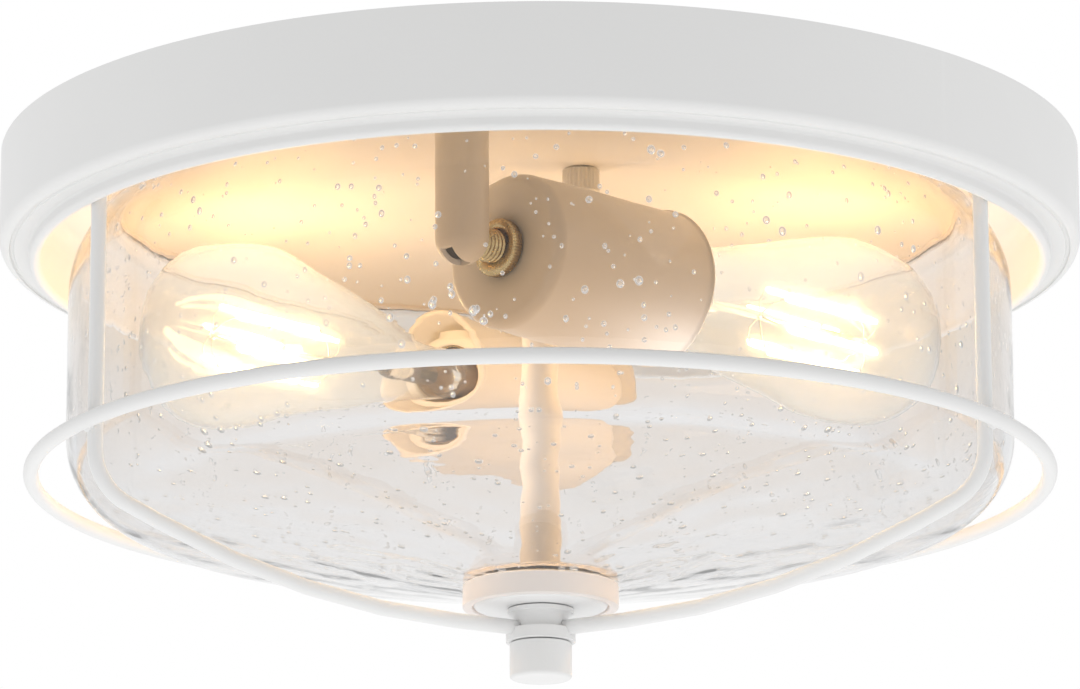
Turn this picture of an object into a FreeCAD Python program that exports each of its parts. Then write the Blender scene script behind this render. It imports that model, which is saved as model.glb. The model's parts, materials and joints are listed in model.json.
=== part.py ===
import FreeCAD, Part
import math
import os

import Sketcher

# Outdoor flush ceiling light: a white pan with two lamp sockets, a clear seeded glass shade and a wire cage.
# Origin at the centre of the ceiling plane, +Z up, the front of the light towards -Y, millimetres.

doc = FreeCAD.newDocument("outdoor_ceiling_light")
sheet = doc.addObject("Spreadsheet::Sheet", "sizes")

# Driving sizes, and after an equals sign the sizes that follow them.
# A depth is measured down from the ceiling, a reach along a socket from its closed end.
SIZES = (
    ("seat_gap", 0.3, "gap between pieces that part when the light is opened"),
    ("run_gap", 0.06, "radial clearance of a shaft in its hole"),
    ("overrun", 2, "how far a cutting tool passes the face that it cuts"),
    ("pan_radius", 160, "outside of the pan's skirt"),
    ("pan_depth", 29.5, "underside of the pan"),
    ("pan_sheet", 1.2, "thickness of the pan's metal"),
    ("pan_corner", 3, "radius between skirt and underside"),
    ("groove_width", 0.8, "width of the groove in the underside"),
    ("groove_land", 0.2, "flat between the skirt's radius and the groove"),
    ("groove_inset", "=pan_corner + groove_land + groove_width / 2", "middle of the groove from the skirt"),
    ("groove_depth", 0.5, "depth of that groove"),
    ("rim_width", 8.8, "distance of the collar from the skirt"),
    ("collar_width", 3.4, "width of the collar"),
    ("collar_drop", 4, "how far the collar hangs below the underside"),
    ("collar_outer", "=pan_radius - rim_width", "outside radius of the collar round the opening"),
    ("collar_inner", "=collar_outer - collar_width", "radius of the opening"),
    ("collar_depth", "=pan_depth + collar_drop", "lowest point of the collar"),
    ("strap_sheet", 1.6, "thickness of each mounting strap"),
    ("rivet_head_height", 1.3, "height of the pivot's head"),
    ("nut_height", 3.4, "height of a nut on a rod or nipple"),
    ("washer_height", 1, "thickness of the washer under the rod's nut"),
    ("rod_spare", 1.1, "how far the rod stands out of its nut"),
    ("rod_room", 1.5, "gap between the rod's upper end and the pivot"),
    ("rod_top", "=strap_sheet * 2 + seat_gap + rivet_head_height + rod_room", "depth of the rod's upper end"),
    ("plate_depth", "=rod_top + rod_spare + nut_height + washer_height + pan_sheet",
     "underside of the recessed back plate"),
    ("plate_corner", 5, "radius between the opening's wall and the back plate"),
    ("strap_width", 20, "width of each mounting strap"),
    ("box_spacing", 88.9, "spacing of the junction box screws"),
    ("box_slot_length", 15, "length of a slot for a junction box screw"),
    ("box_slot_width", 4.6, "width of a slot for a junction box screw"),
    ("strap_spare", 2.1, "length of a strap past the slots, both ends together"),
    ("strap_length", "=box_spacing + box_slot_length + strap_spare", "length of each mounting strap"),
    ("stud_spacing", "=box_spacing", "spacing of the studs that carry the pan"),
    ("stud_angle", 105.7, "turn of the stud strap from the X axis in degrees"),
    ("stud_radius", 2.05, "radius of a stud"),
    ("stud_head_radius", 3.8, "radius of a stud's head"),
    ("stud_head_height", 1.5, "height of a stud's head"),
    ("stud_reach", 6.4, "how far a stud hangs below the back plate"),
    ("stud_end", "=plate_depth + stud_reach", "depth of the lower end of a stud"),
    ("stud_hole_play", 0.5, "clearance of a stud in the back plate"),
    ("stud_nut_flats", 8.7, "width across flats of a stud's lock nut"),
    ("stud_nut_height", 2.8, "height of a stud's lock nut"),
    ("thumb_radius", 5.5, "radius of a knurled nut"),
    ("thumb_height", 9, "height of a knurled nut"),
    ("thumb_edge", 0.8, "bevel of a knurled nut"),
    ("rivet_radius", 4, "radius of the pivot between the straps"),
    ("rivet_head_radius", 6.2, "radius of the pivot's head"),
    ("earth_reach", 24, "distance of the earth screw from the pivot"),
    ("earth_radius", 2.3, "radius of the earth screw"),
    ("earth_flats", 8, "width across flats of the earth screw"),
    ("earth_head", 3, "height of the earth screw's head"),
    ("rod_radius", 4.9, "radius of the threaded rod and of every nipple"),
    ("rod_bite", 7.2, "how far the rod reaches into the knob"),
    ("nipple_wall", 1.6, "wall of a nipple"),
    ("nipple_bore", "=rod_radius - nipple_wall", "radius of the wire way in a nipple"),
    ("nut_width", 4.2, "width across flats of a nut less its thread"),
    ("nut_flats", "=rod_radius * 2 + nut_width", "width across flats of a nut on a rod or nipple"),
    ("washer_width", 3.1, "width of the washer's face"),
    ("washer_radius", "=rod_radius + washer_width", "radius of the washer under the rod's nut"),
    ("stem_wall", 0.7, "wall of the sleeve"),
    ("stem_play", 0.15, "radial clearance of the rod in the sleeve"),
    ("stem_radius", "=rod_radius + stem_play + stem_wall", "outside radius of the sleeve round the rod"),
    ("foot_reach", 4.6, "how far the foot under the sleeve stands out from the rod"),
    ("foot_radius", "=rod_radius + foot_reach", "radius of the foot under the sleeve"),
    ("foot_wall", 1.7, "wall of the foot's upper end"),
    ("foot_neck", "=rod_radius + foot_wall", "upper radius of the foot"),
    ("foot_height", 3, "height of the foot"),
    ("foot_edge", 1, "thickness of the foot's edge"),
    ("glass_play", 8.3, "gap between the glass and the pan's opening"),
    ("glass_radius", "=collar_inner - glass_play", "outside radius of the glass"),
    ("glass_wall", 3, "thickness of the glass"),
    ("neck_step", 10, "how far the rim stands in from the side of the glass"),
    ("neck_length", 3.8, "height of the straight neck"),
    ("glass_neck", "=glass_radius - neck_step", "outside radius of the glass at its rim"),
    ("glass_shoulder", 30, "radius of the shoulder"),
    ("glass_fillet", 6, "radius between shoulder and neck"),
    ("glass_side", 43, "height of the straight side of the glass"),
    ("glass_corner", 23, "radius of the lower corner"),
    ("glass_slope", 11.5, "slope of the glass bottom in degrees"),
    ("glass_flat", 24, "radius of the flat middle of the bottom"),
    ("hole_play", 1.6, "clearance of the rod in the glass"),
    ("glass_hole", "=rod_radius + hole_play", "radius of the hole for the rod"),
    ("seal_height", 1, "thickness of the seal above the glass rim"),
    ("seal_overlap", 1, "how far that seal stands out on each side of the rim"),
    ("cup_radius", 20, "radius of the metal cap under the glass"),
    ("cup_sheet", 1.2, "thickness of the cap's metal"),
    ("cup_height", 5.6, "height of the cap"),
    ("gasket_wall", 2.9, "wall of the clear gasket round the cap"),
    ("gasket_radius", "=cup_radius + gasket_wall", "radius of the clear gasket"),
    ("gasket_floor", 1.2, "thickness of the gasket between glass and cap"),
    ("gasket_skirt", 6.6, "overall height of the gasket"),
    ("wire_radius", 2.25, "radius of the cage's wire"),
    ("wire_play", 0.35, "gap between an upright and the pan's collar"),
    ("weld_bite", 0.2, "depth of the weld between ring and upright"),
    ("upright_count", 3, "number of uprights in the cage"),
    ("upright_angle", 90, "turn of the first upright from the X axis in degrees"),
    ("upright_top", 22, "depth of the upper end of an upright"),
    ("upright_seat", 3.75, "height of the uprights' low ends above the end of the hub"),
    ("upright_bend", 16, "radius of that bend"),
    ("upright_slope", 22, "slope of the run after that bend in degrees"),
    ("upright_run", 11, "length of that straight run"),
    ("upright_flat", 28.35, "distance from the middle at which the long sweep runs out level"),
    ("ring_rise", 6.9, "height of the cage's ring above the start of the bends"),
    ("hub_height", 9.8, "height of the cage's hub"),
    ("hub_flange_height", 1.5, "height of the hub's upper flange"),
    ("hub_wall", 3.1, "wall of the hub's waist"),
    ("hub_waist", "=rod_radius + hub_wall", "radius of the hub's waist"),
    ("hub_hollow", 1.8, "radius of the hollow under the hub's upper flange"),
    ("hub_flange", "=hub_waist + hub_hollow", "radius of the hub's upper flange"),
    ("hub_step", 2.2, "how far the hub's lower collar stands out"),
    ("hub_collar", "=hub_waist + hub_step", "radius of the hub's lower collar"),
    ("hub_collar_height", 3.6, "height of the hub's lower collar"),
    ("hub_play", 0.2, "clearance of the rod in hub, cap and gasket"),
    ("knob_wall", 4.2, "wall of the knob"),
    ("knob_radius", "=rod_radius + knob_wall", "radius of the knob"),
    ("knob_height", 10.6, "height of the knob"),
    ("knob_edge", 0.6, "bevel of the knob"),
    ("knob_bore_spare", 0.5, "room in the knob past the rod's end"),
    ("socket_depth", 54, "depth of the sockets' axes"),
    ("arm_inset", 46.63, "distance of an arm's axis from the skirt"),
    ("arm_angle", 79.06, "turn of the rear arm's place from the X axis in degrees"),
    ("socket_angle", 45, "direction of the front socket from the X axis in degrees"),
    ("arm_offset", 16, "distance of an arm's axis from its socket's closed end"),
    ("arm_room", 1, "room round a nipple in an arm"),
    ("arm_wall", 1.6, "wall of an arm"),
    ("arm_radius", "=rod_radius + arm_room + arm_wall", "outside radius of an arm"),
    ("arm_plug", 10, "length of the threaded top of an arm"),
    ("arm_slot", 4.4, "width of the wire slot in an arm's round end"),
    ("arm_slot_depth", 4, "how far the wire slot reaches up"),
    ("nipple_spare", 1.8, "how far an arm's nipple stands out of its nut"),
    ("arm_nipple_top", "=plate_depth - pan_sheet - nut_height - nipple_spare",
     "depth of the upper end of an arm's nipple"),
    ("shell_radius", 13.25, "inside radius of a screw shell"),
    ("shell_wall", 0.6, "wall of a screw shell"),
    ("porcelain_wall", 4.65, "wall of a porcelain socket body round the shell"),
    ("porcelain_radius", "=shell_radius + shell_wall + porcelain_wall", "radius of a porcelain socket body"),
    ("porcelain_play", 2.6, "gap between a porcelain body and its cup"),
    ("shade_wall", 1.2, "wall of a socket's cup"),
    ("shade_radius", "=porcelain_radius + porcelain_play + shade_wall", "outside radius of a socket's cup"),
    ("porcelain_end", 56, "reach of the mouth of a porcelain body"),
    ("shade_spare", 6, "how far a cup stands out past its porcelain body"),
    ("shade_length", "=porcelain_end + shade_spare", "length of a socket's cup"),
    ("shade_corner", 3.5, "radius of the edge at the cup's closed end"),
    ("lip_width", 0.7, "how far the rolled lip of a cup stands out"),
    ("lip_length", 1.6, "length of the rolled lip of a cup"),
    ("ring_wall", 3.35, "wall of a knurled lock ring"),
    ("ring_radius", "=rod_radius + ring_wall", "radius of a knurled lock ring"),
    ("ring_height", 3.6, "height of a knurled lock ring"),
    ("cross_short", 5, "distance of a cross nipple's end from the arm's axis"),
    ("cross_inside", "=arm_offset - cross_short", "how far a cross nipple reaches outside its cup"),
    ("cross_end", 12, "how far a cross nipple reaches into the porcelain"),
    ("porcelain_floor", 24.9, "reach of the floor of a porcelain body"),
    ("porcelain_edge", 1.5, "bevel of a porcelain body"),
    ("shell_inset", 1, "how far a screw shell ends inside the mouth"),
    ("shell_end", "=porcelain_end - shell_inset", "reach of the mouth of a screw shell"),
    ("shell_hole", 6, "radius of the hole in the shell's floor"),
    ("contact_radius", 4, "radius of a centre contact"),
    ("contact_height", 1.4, "height of a centre contact"),
    ("base_wall", 0.6, "wall of a bulb's screw base"),
    ("base_play", 0.1, "radial clearance of a screw base in its shell"),
    ("base_radius", "=shell_radius - base_play", "radius of a bulb's screw base"),
    ("base_taper", 2.6, "length of the taper at the base's end"),
    ("eyelet_height", 0.8, "height of the contact on a bulb's base"),
    ("base_start", "=porcelain_floor + contact_height + seat_gap + eyelet_height + base_taper",
     "reach at which the base's straight side begins"),
    ("base_inset", 1, "how far a screwed-in base ends inside its shell"),
    ("base_end", "=shell_end - base_inset", "reach at which the base ends"),
    ("base_floor", 8.5, "radius of the base's end"),
    ("eyelet_radius", 3.2, "radius of the contact on a bulb's base"),
    ("neck_play", 0.15, "radial clearance of a bulb's neck in its base"),
    ("bulb_neck", "=base_radius - base_wall - neck_play", "outside radius of a bulb's neck"),
    ("neck_bite", 6, "how far a bulb's glass reaches into its base"),
    ("bulb_start", "=base_end - neck_bite", "reach at which a bulb's glass begins"),
    ("neck_out", 4, "length of a bulb's plain neck past its base"),
    ("bulb_neck_end", "=base_end + neck_out", "reach at which a bulb's neck begins to flare"),
    ("bulb_wall", 1, "thickness of a bulb's glass"),
    ("bulb_flare", 70, "radius of the flare above the neck"),
    ("bulb_cone", 14, "slope of the bulb's cone in degrees"),
    ("bulb_blend", 48, "radius between cone and dome"),
    ("bulb_share", 0.2, "share of the glass radius that a bulb's radius follows"),
    ("bulb_spare", 1.6, "what a bulb's radius has beyond that share"),
    ("bulb_radius", "=glass_radius * bulb_share + bulb_spare", "largest radius of a bulb"),
    ("mount_inset", 3, "how far the glass mount's foot stands in from the start of the glass"),
    ("mount_foot", "=bulb_start + mount_inset", "reach of the foot of the glass mount in a bulb"),
    ("mount_foot_height", 2, "height of the flared foot of the glass mount"),
    ("mount_stem", 5, "radius of the mount's stem at its foot"),
    ("waist_drop", 20, "distance from the mount's waist to the strips"),
    ("mount_rod", 1.3, "radius of the mount's rod"),
    ("mount_spare", 3, "how far the mount's rod ends past the strips"),
    ("strip_count", 6, "number of glowing strips in a bulb"),
    ("strip_length", 40, "length of a glowing strip"),
    ("strip_rise", 6.93, "how far the strips end past the widest part of the bulb"),
    ("strip_orbit", 9, "distance of a strip from the bulb's axis"),
    ("strip_radius", 0.9, "radius of a strip"),
    ("support_radius", 0.4, "radius of a support wire"),
    ("support_inset", 1.5, "distance of a support wire from the end of its strip"),
)
for row, (alias, value, note) in enumerate(SIZES, 1):
    sheet.set(f"A{row}", alias)
    sheet.set(f"B{row}", str(value))
    sheet.set(f"C{row}", note)
    sheet.setAlias(f"B{row}", alias)
doc.recompute()


class Size:
    """a number together with the sheet formula that gives it"""

    def __init__(self, value, text):
        self.value = value
        self.text = text

    def __add__(self, other):
        other = as_size(other)
        return Size(self.value + other.value, f"({self.text} + {other.text})")

    def __sub__(self, other):
        other = as_size(other)
        return Size(self.value - other.value, f"({self.text} - {other.text})")

    def __mul__(self, other):
        other = as_size(other)
        return Size(self.value * other.value, f"({self.text} * {other.text})")

    def __truediv__(self, other):
        other = as_size(other)
        return Size(self.value / other.value, f"({self.text} / {other.text})")

    def __neg__(self):
        return Size(-self.value, f"(0 - {self.text})")


def as_size(number):
    return number if isinstance(number, Size) else Size(number, repr(number))


def cosine(angle):
    return Size(math.cos(math.radians(angle.value)), f"cos({angle.text})")


def sine(angle):
    return Size(math.sin(math.radians(angle.value)), f"sin({angle.text})")


def root(number):
    return Size(math.sqrt(number.value), f"sqrt({number.text})")


class Table:
    """the sheet's values by name, as sizes"""

    values = {alias: sheet.get(alias) if isinstance(value, str) else value for alias, value, note in SIZES}

    def __getattr__(self, alias):
        return Size(self.values[alias], f"sizes.{alias}")


s = Table()
ZERO = as_size(0)
UP = FreeCAD.Vector(0, 0, 1)
SIDEWAYS = FreeCAD.Vector(0, 1, 0)


def bind(thing, **sizes):
    for name, size in sizes.items():
        thing.setExpression(name, as_size(size).text)


def place(thing, x=ZERO, y=ZERO, z=ZERO, rotation=None):
    """moves a piece to a place in named sizes and turns it"""
    turn = rotation or FreeCAD.Rotation()
    base = FreeCAD.Vector(*(as_size(part).value for part in (x, y, z)))
    thing.Placement = FreeCAD.Placement(base, turn)
    for axis, part in zip("xyz", (x, y, z)):
        thing.setExpression(f"Placement.Base.{axis}", as_size(part).text)
    return thing


# Outlines: a corner is (x, y), and (x, y, radius, way) ends an arc that turns left (way 1) or right (way -1).

def arc_between(start, end, radius, way):
    """the short arc between two points, as a sketch curve that always runs to the left"""
    chord = end - start
    rise = math.sqrt(max(radius ** 2 - (chord.Length / 2) ** 2, 0))
    left = FreeCAD.Vector(-chord.y, chord.x, 0).normalize()
    centre = (start + end) / 2 + left * rise * way
    first, last = (start, end) if way > 0 else (end, start)
    angles = [math.atan2(point.y - centre.y, point.x - centre.x) for point in (first, last)]
    circle = Part.Circle(centre, UP, radius)
    return Part.ArcOfCircle(circle, *angles)


def draw(sketch, corners, closed=True):
    """draws an outline and fixes each corner and arc to its sizes"""
    points = [FreeCAD.Vector(as_size(corner[0]).value, as_size(corner[1]).value, 0) for corner in corners]
    count = len(corners)
    spans = count if closed else count - 1
    first = sketch.GeometryCount
    ends = []
    for index in range(spans):
        corner = corners[(index + 1) % count]
        start = points[index]
        end = points[(index + 1) % count]
        if len(corner) == 4:
            radius, way = corner[2], corner[3]
            sketch.addGeometry(arc_between(start, end, radius.value, way), False)
            ends.append((1, 2) if way > 0 else (2, 1))
            sketch.addConstraint(Sketcher.Constraint("Radius", first + index, radius.value))
            sketch.setExpression(f"Constraints[{sketch.ConstraintCount - 1}]", radius.text)
        else:
            sketch.addGeometry(Part.LineSegment(start, end), False)
            ends.append((1, 2))
    for index in range(spans if closed else spans - 1):
        after = (index + 1) % spans
        join = Sketcher.Constraint("Coincident", first + index, ends[index][1], first + after, ends[after][0])
        sketch.addConstraint(join)
    for index in range(count):
        span, end = (index, 0) if index < spans else (index - 1, 1)
        for kind, value, axis in (("DistanceX", corners[index][0], -2), ("DistanceY", corners[index][1], -1)):
            value = as_size(value)
            point = (first + span, ends[span][end])
            if value.value == 0:
                sketch.addConstraint(Sketcher.Constraint("PointOnObject", *point, axis))
                continue
            fixed = Sketcher.Constraint(kind, -1, 1, *point, value.value)
            sketch.addConstraint(fixed)
            sketch.setExpression(f"Constraints[{sketch.ConstraintCount - 1}]", value.text)


def new_sketch(body, role, name, drop=None):
    """a sketch on one of the body's own planes, moved along the plane's normal if asked"""
    sketch = body.newObject("Sketcher::SketchObject", name)
    plane = next(thing for thing in body.Origin.OriginFeatures if thing.Role == role)
    sketch.AttachmentSupport = [(plane, "")]
    sketch.MapMode = "FlatFace"
    if drop is not None:
        sketch.setExpression("AttachmentOffset.Base.z", drop.text)
    doc.recompute()
    return sketch


def new_body(label):
    body = doc.addObject("PartDesign::Body", label)
    body.Label = label
    return body


def turned(label, corners):
    """a piece turned about Z from its outline of (radius, height) corners"""
    body = new_body(label)
    sketch = new_sketch(body, "XZ_Plane", f"{label}_outline")
    draw(sketch, corners)
    turn = body.newObject("PartDesign::Revolution", f"{label}_turn")
    turn.Profile = sketch
    turn.ReferenceAxis = (sketch, ["V_Axis"])
    turn.Angle = 360
    doc.recompute()
    return body


def cut(label, base, *tools):
    """takes the tools away from the base and checks that each one cut something"""
    doc.recompute()
    piece = base
    for number, tool in enumerate(tools, 1):
        before = piece.Shape.Volume
        after = doc.addObject("Part::Cut", f"{label}_cut_{number}")
        after.Base = piece
        after.Tool = tool
        doc.recompute()
        if not after.Shape.Volume < before:
            raise ValueError(f"{label}: cut {number} takes nothing away")
        piece = after
    base.Label = f"{label}_blank"
    piece.Label = label
    return piece


def cylinder(name, radius, height, x=ZERO, y=ZERO, z=ZERO, rotation=None):
    tool = doc.addObject("Part::Cylinder", name)
    bind(tool, Radius=radius, Height=height)
    return place(tool, x, y, z, rotation)


def box(name, length, width, height, x=ZERO, y=ZERO, z=ZERO):
    tool = doc.addObject("Part::Box", name)
    bind(tool, Length=length, Width=width, Height=height)
    return place(tool, x, y, z)


def fuse(label, *pieces):
    whole = doc.addObject("Part::MultiFuse", label)
    whole.Shapes = list(pieces)
    whole.Label = label
    doc.recompute()
    return whole


def group(label, pieces):
    """like pieces that share one node"""
    together = doc.addObject("Part::Compound", label)
    together.Links = pieces
    together.Label = label
    doc.recompute()
    return together


def ring(label, inner, outer, top, bottom):
    """a plain ring between two radii and two heights"""
    return turned(label, [(inner, top), (outer, top), (outer, bottom), (inner, bottom)])


def hex_nut(label, flats, bore, height, x=ZERO, y=ZERO, z=ZERO):
    blank = doc.addObject("Part::Prism", f"{label}_blank")
    blank.Polygon = 6
    bind(blank, Circumradius=flats / root(as_size(3)), Height=height)
    place(blank, x, y, z)
    hole = cylinder(f"{label}_hole", bore, height + s.overrun * 2, x, y, z - s.overrun)
    return cut(label, blank, hole)


nodes = []

# Front and rear, each with the sign that turns the rear place to it.
SIDES = (("front", -1), ("rear", 1))


def keep(piece):
    nodes.append(piece)
    return piece


# The pan: skirt, underside, collar and recessed back plate in one sheet.

def pan():
    bead = (s.collar_outer - s.collar_inner) / 2
    back = s.plate_depth - s.pan_sheet
    turn_depth = s.plate_depth + s.plate_corner
    turn_radius = s.collar_inner - s.plate_corner
    groove = s.pan_radius - s.groove_inset
    rod_hole = s.rod_radius + s.hub_play
    corners = [
        (s.pan_radius, ZERO),
        (s.pan_radius, s.pan_corner - s.pan_depth),
        (s.pan_radius - s.pan_corner, -s.pan_depth, s.pan_corner, -1),
        (groove + s.groove_width / 2, -s.pan_depth),
        (groove + s.groove_width / 2, s.groove_depth - s.pan_depth),
        (groove - s.groove_width / 2, s.groove_depth - s.pan_depth),
        (groove - s.groove_width / 2, -s.pan_depth),
        (s.collar_outer, -s.pan_depth),
        (s.collar_outer, bead - s.collar_depth),
        (s.collar_outer - bead, -s.collar_depth, bead, -1),
        (s.collar_inner, bead - s.collar_depth, bead, -1),
        (s.collar_inner, -turn_depth),
        (turn_radius, -s.plate_depth, s.plate_corner, 1),
        (rod_hole, -s.plate_depth),
        (rod_hole, -back),
        (turn_radius, -back),
        (s.collar_inner + s.pan_sheet, -turn_depth, s.plate_corner + s.pan_sheet, -1),
        (s.collar_inner + s.pan_sheet, s.pan_sheet - s.pan_depth),
        (s.pan_radius - s.pan_corner, s.pan_sheet - s.pan_depth),
        (s.pan_radius - s.pan_sheet, s.pan_corner - s.pan_depth, s.pan_corner - s.pan_sheet, 1),
        (s.pan_radius - s.pan_sheet, ZERO),
    ]
    blank = turned("ceiling_pan", corners)
    height = s.pan_sheet + s.overrun * 2
    floor = -s.plate_depth - s.overrun
    holes = (
        ("stud", s.stud_radius + s.stud_hole_play, stud_place()),
        ("arm", rod_hole, arm_place()),
    )
    tools = []
    for name, radius, (x, y) in holes:
        for side, way in SIDES:
            tools.append(cylinder(f"{side}_{name}_hole", radius, height, x * way, y * way, floor))
    return cut("ceiling_pan", blank, *tools)


def stud_place():
    """the rear stud's axis; the front one is opposite"""
    reach = s.stud_spacing / 2
    return reach * cosine(s.stud_angle), reach * sine(s.stud_angle)


def arm_place():
    """the rear arm's axis; the front one is opposite"""
    reach = s.pan_radius - s.arm_inset
    return reach * cosine(s.arm_angle), reach * sine(s.arm_angle)


def socket_place():
    """the rear socket's closed end; the front one is opposite"""
    x, y = arm_place()
    return x - s.arm_offset * cosine(s.socket_angle), y - s.arm_offset * sine(s.socket_angle)


# The mounting straps: one for the junction box, one for the pan, joined by a pivot.

def slot_corners(middle, length, width):
    """a slot along X as lines and quarter arcs"""
    end = width / 2
    reach = (length - width) / 2
    left = middle - reach
    right = middle + reach
    return [
        (left, -end, end, 1),
        (right, -end),
        (right + end, ZERO, end, 1),
        (right, end, end, 1),
        (left, end),
        (left - end, ZERO, end, 1),
    ]


def strap(label, depth, slots):
    """a flat strap along X with round ends and slots, its top at the given depth"""
    body = new_body(label)
    sketch = new_sketch(body, "XY_Plane", f"{label}_outline", -depth)
    draw(sketch, slot_corners(ZERO, s.strap_length, s.strap_width))
    for middle, length, width in slots:
        draw(sketch, slot_corners(middle, length, width))
    pad = body.newObject("PartDesign::Pad", f"{label}_pad")
    pad.Profile = sketch
    pad.Reversed = True
    bind(pad, Length=s.strap_sheet)
    doc.recompute()
    return body


def bracket():
    below = s.strap_sheet + s.seat_gap
    half = s.box_spacing / 2
    box_slots = [(half, s.box_slot_length, s.box_slot_width), (-half, s.box_slot_length, s.box_slot_width)]
    pivot_hole = s.rivet_radius + s.run_gap
    box_blank = strap("box_strap", ZERO, box_slots)
    height = s.strap_sheet + s.overrun * 2
    box_hole = cylinder("box_strap_hole", pivot_hole, height, z=-(s.strap_sheet + s.overrun))
    keep(cut("box_strap", box_blank, box_hole))

    stud_blank = strap("stud_strap", below, [])
    place(stud_blank, rotation=FreeCAD.Rotation(UP, s.stud_angle.value))
    stud_x, stud_y = stud_place()
    earth_x = s.earth_reach * cosine(s.stud_angle)
    earth_y = s.earth_reach * sine(s.stud_angle)
    floor = -(below + s.strap_sheet + s.overrun)
    tools = [
        cylinder("stud_strap_pivot", pivot_hole, height, z=floor),
        cylinder("stud_strap_rear", s.stud_radius + s.run_gap, height, stud_x, stud_y, floor),
        cylinder("stud_strap_front", s.stud_radius + s.run_gap, height, -stud_x, -stud_y, floor),
        cylinder("stud_strap_earth", s.earth_radius + s.run_gap, height, earth_x, earth_y, floor),
    ]
    keep(cut("stud_strap", stud_blank, *tools))

    strap_floor = below + s.strap_sheet
    rivet_end = strap_floor + s.rivet_head_height
    keep(turned("strap_pivot", [
        (ZERO, ZERO),
        (s.rivet_radius, ZERO),
        (s.rivet_radius, -strap_floor),
        (s.rivet_head_radius, -strap_floor),
        (s.rivet_head_radius, -rivet_end),
        (ZERO, -rivet_end),
    ]))
    studs = []
    nuts = []
    for side, way in SIDES:
        stud = turned(f"{side}_stud", [
            (ZERO, s.stud_head_height - below),
            (s.stud_head_radius, s.stud_head_height - below),
            (s.stud_head_radius, -below),
            (s.stud_radius, -below),
            (s.stud_radius, -s.stud_end),
            (ZERO, -s.stud_end),
        ])
        studs.append(place(stud, stud_x * way, stud_y * way))
        floor = -(strap_floor + s.stud_nut_height)
        bore = s.stud_radius + s.run_gap
        nuts.append(hex_nut(f"{side}_stud_nut", s.stud_nut_flats, bore, s.stud_nut_height,
                            stud_x * way, stud_y * way, floor))
    keep(group("pan_studs", studs))
    keep(group("stud_lock_nuts", nuts))

    for side, way in SIDES:
        top = s.plate_depth + s.seat_gap
        end = top + s.thumb_height
        bore = s.stud_radius + s.run_gap
        nut = turned(f"{side}_thumb_nut", [
            (bore, -top),
            (s.thumb_radius, -top),
            (s.thumb_radius, s.thumb_edge - end),
            (s.thumb_radius - s.thumb_edge, -end),
            (ZERO, -end),
            (ZERO, -(s.stud_end + s.seat_gap)),
            (bore, -(s.stud_end + s.seat_gap)),
        ])
        keep(place(nut, stud_x * way, stud_y * way))

    head = doc.addObject("Part::Prism", "earth_head")
    head.Polygon = 6
    bind(head, Circumradius=s.earth_flats / root(as_size(3)), Height=s.earth_head)
    place(head, earth_x, earth_y, -(strap_floor + s.earth_head))
    shank = cylinder("earth_shank", s.earth_radius, s.strap_sheet, earth_x, earth_y, -strap_floor)
    keep(fuse("earth_screw", head, shank))


# The rod down the middle, with its nut, washer, sleeve and foot.

def shoulder_rise():
    """height from the start of the shoulder up to the end of the straight neck"""
    spread = s.glass_shoulder + s.glass_fillet - s.neck_step
    reach = s.glass_shoulder + s.glass_fillet
    return root(reach * reach - spread * spread)


def rim_depth():
    return s.plate_depth + s.seal_height + s.seat_gap


def shoulder_depth():
    return rim_depth() + s.neck_length + shoulder_rise()


def corner_depth():
    return shoulder_depth() + s.glass_side


def glass_floor():
    """depth of the underside of the glass at its flat middle"""
    corner = s.glass_radius - s.glass_corner + s.glass_corner * sine(s.glass_slope)
    fall = (corner - s.glass_flat) * sine(s.glass_slope) / cosine(s.glass_slope)
    return corner_depth() + s.glass_corner * cosine(s.glass_slope) + fall


def cap_end():
    return glass_floor() + s.seat_gap + s.gasket_floor + s.cup_height


def hub_end():
    return cap_end() + s.seat_gap + s.hub_height


def rod_end():
    return hub_end() + s.seat_gap + s.rod_bite


def stem():
    back = s.plate_depth - s.pan_sheet
    keep(turned("centre_rod", [
        (ZERO, -s.rod_top),
        (s.rod_radius, -s.rod_top),
        (s.rod_radius, -rod_end()),
        (ZERO, -rod_end()),
    ]))
    bore = s.rod_radius + s.run_gap
    keep(ring("rod_washer", bore, s.washer_radius, s.washer_height - back, -back))
    keep(hex_nut("rod_nut", s.nut_flats, bore, s.nut_height, z=s.washer_height - back))
    foot_end = glass_floor() - s.glass_wall - s.seat_gap
    sleeve_end = foot_end - s.foot_height
    keep(ring("stem_sleeve", s.stem_radius - s.stem_wall, s.stem_radius, -s.plate_depth, -sleeve_end))
    keep(turned("stem_foot", [
        (bore, -sleeve_end),
        (s.foot_neck, -sleeve_end),
        (s.foot_radius, s.foot_edge - foot_end),
        (s.foot_radius, -foot_end),
        (bore, -foot_end),
    ]))


# The glass shade with its shoulder, neck, rounded lower corner, shallow cone and flat middle.

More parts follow.
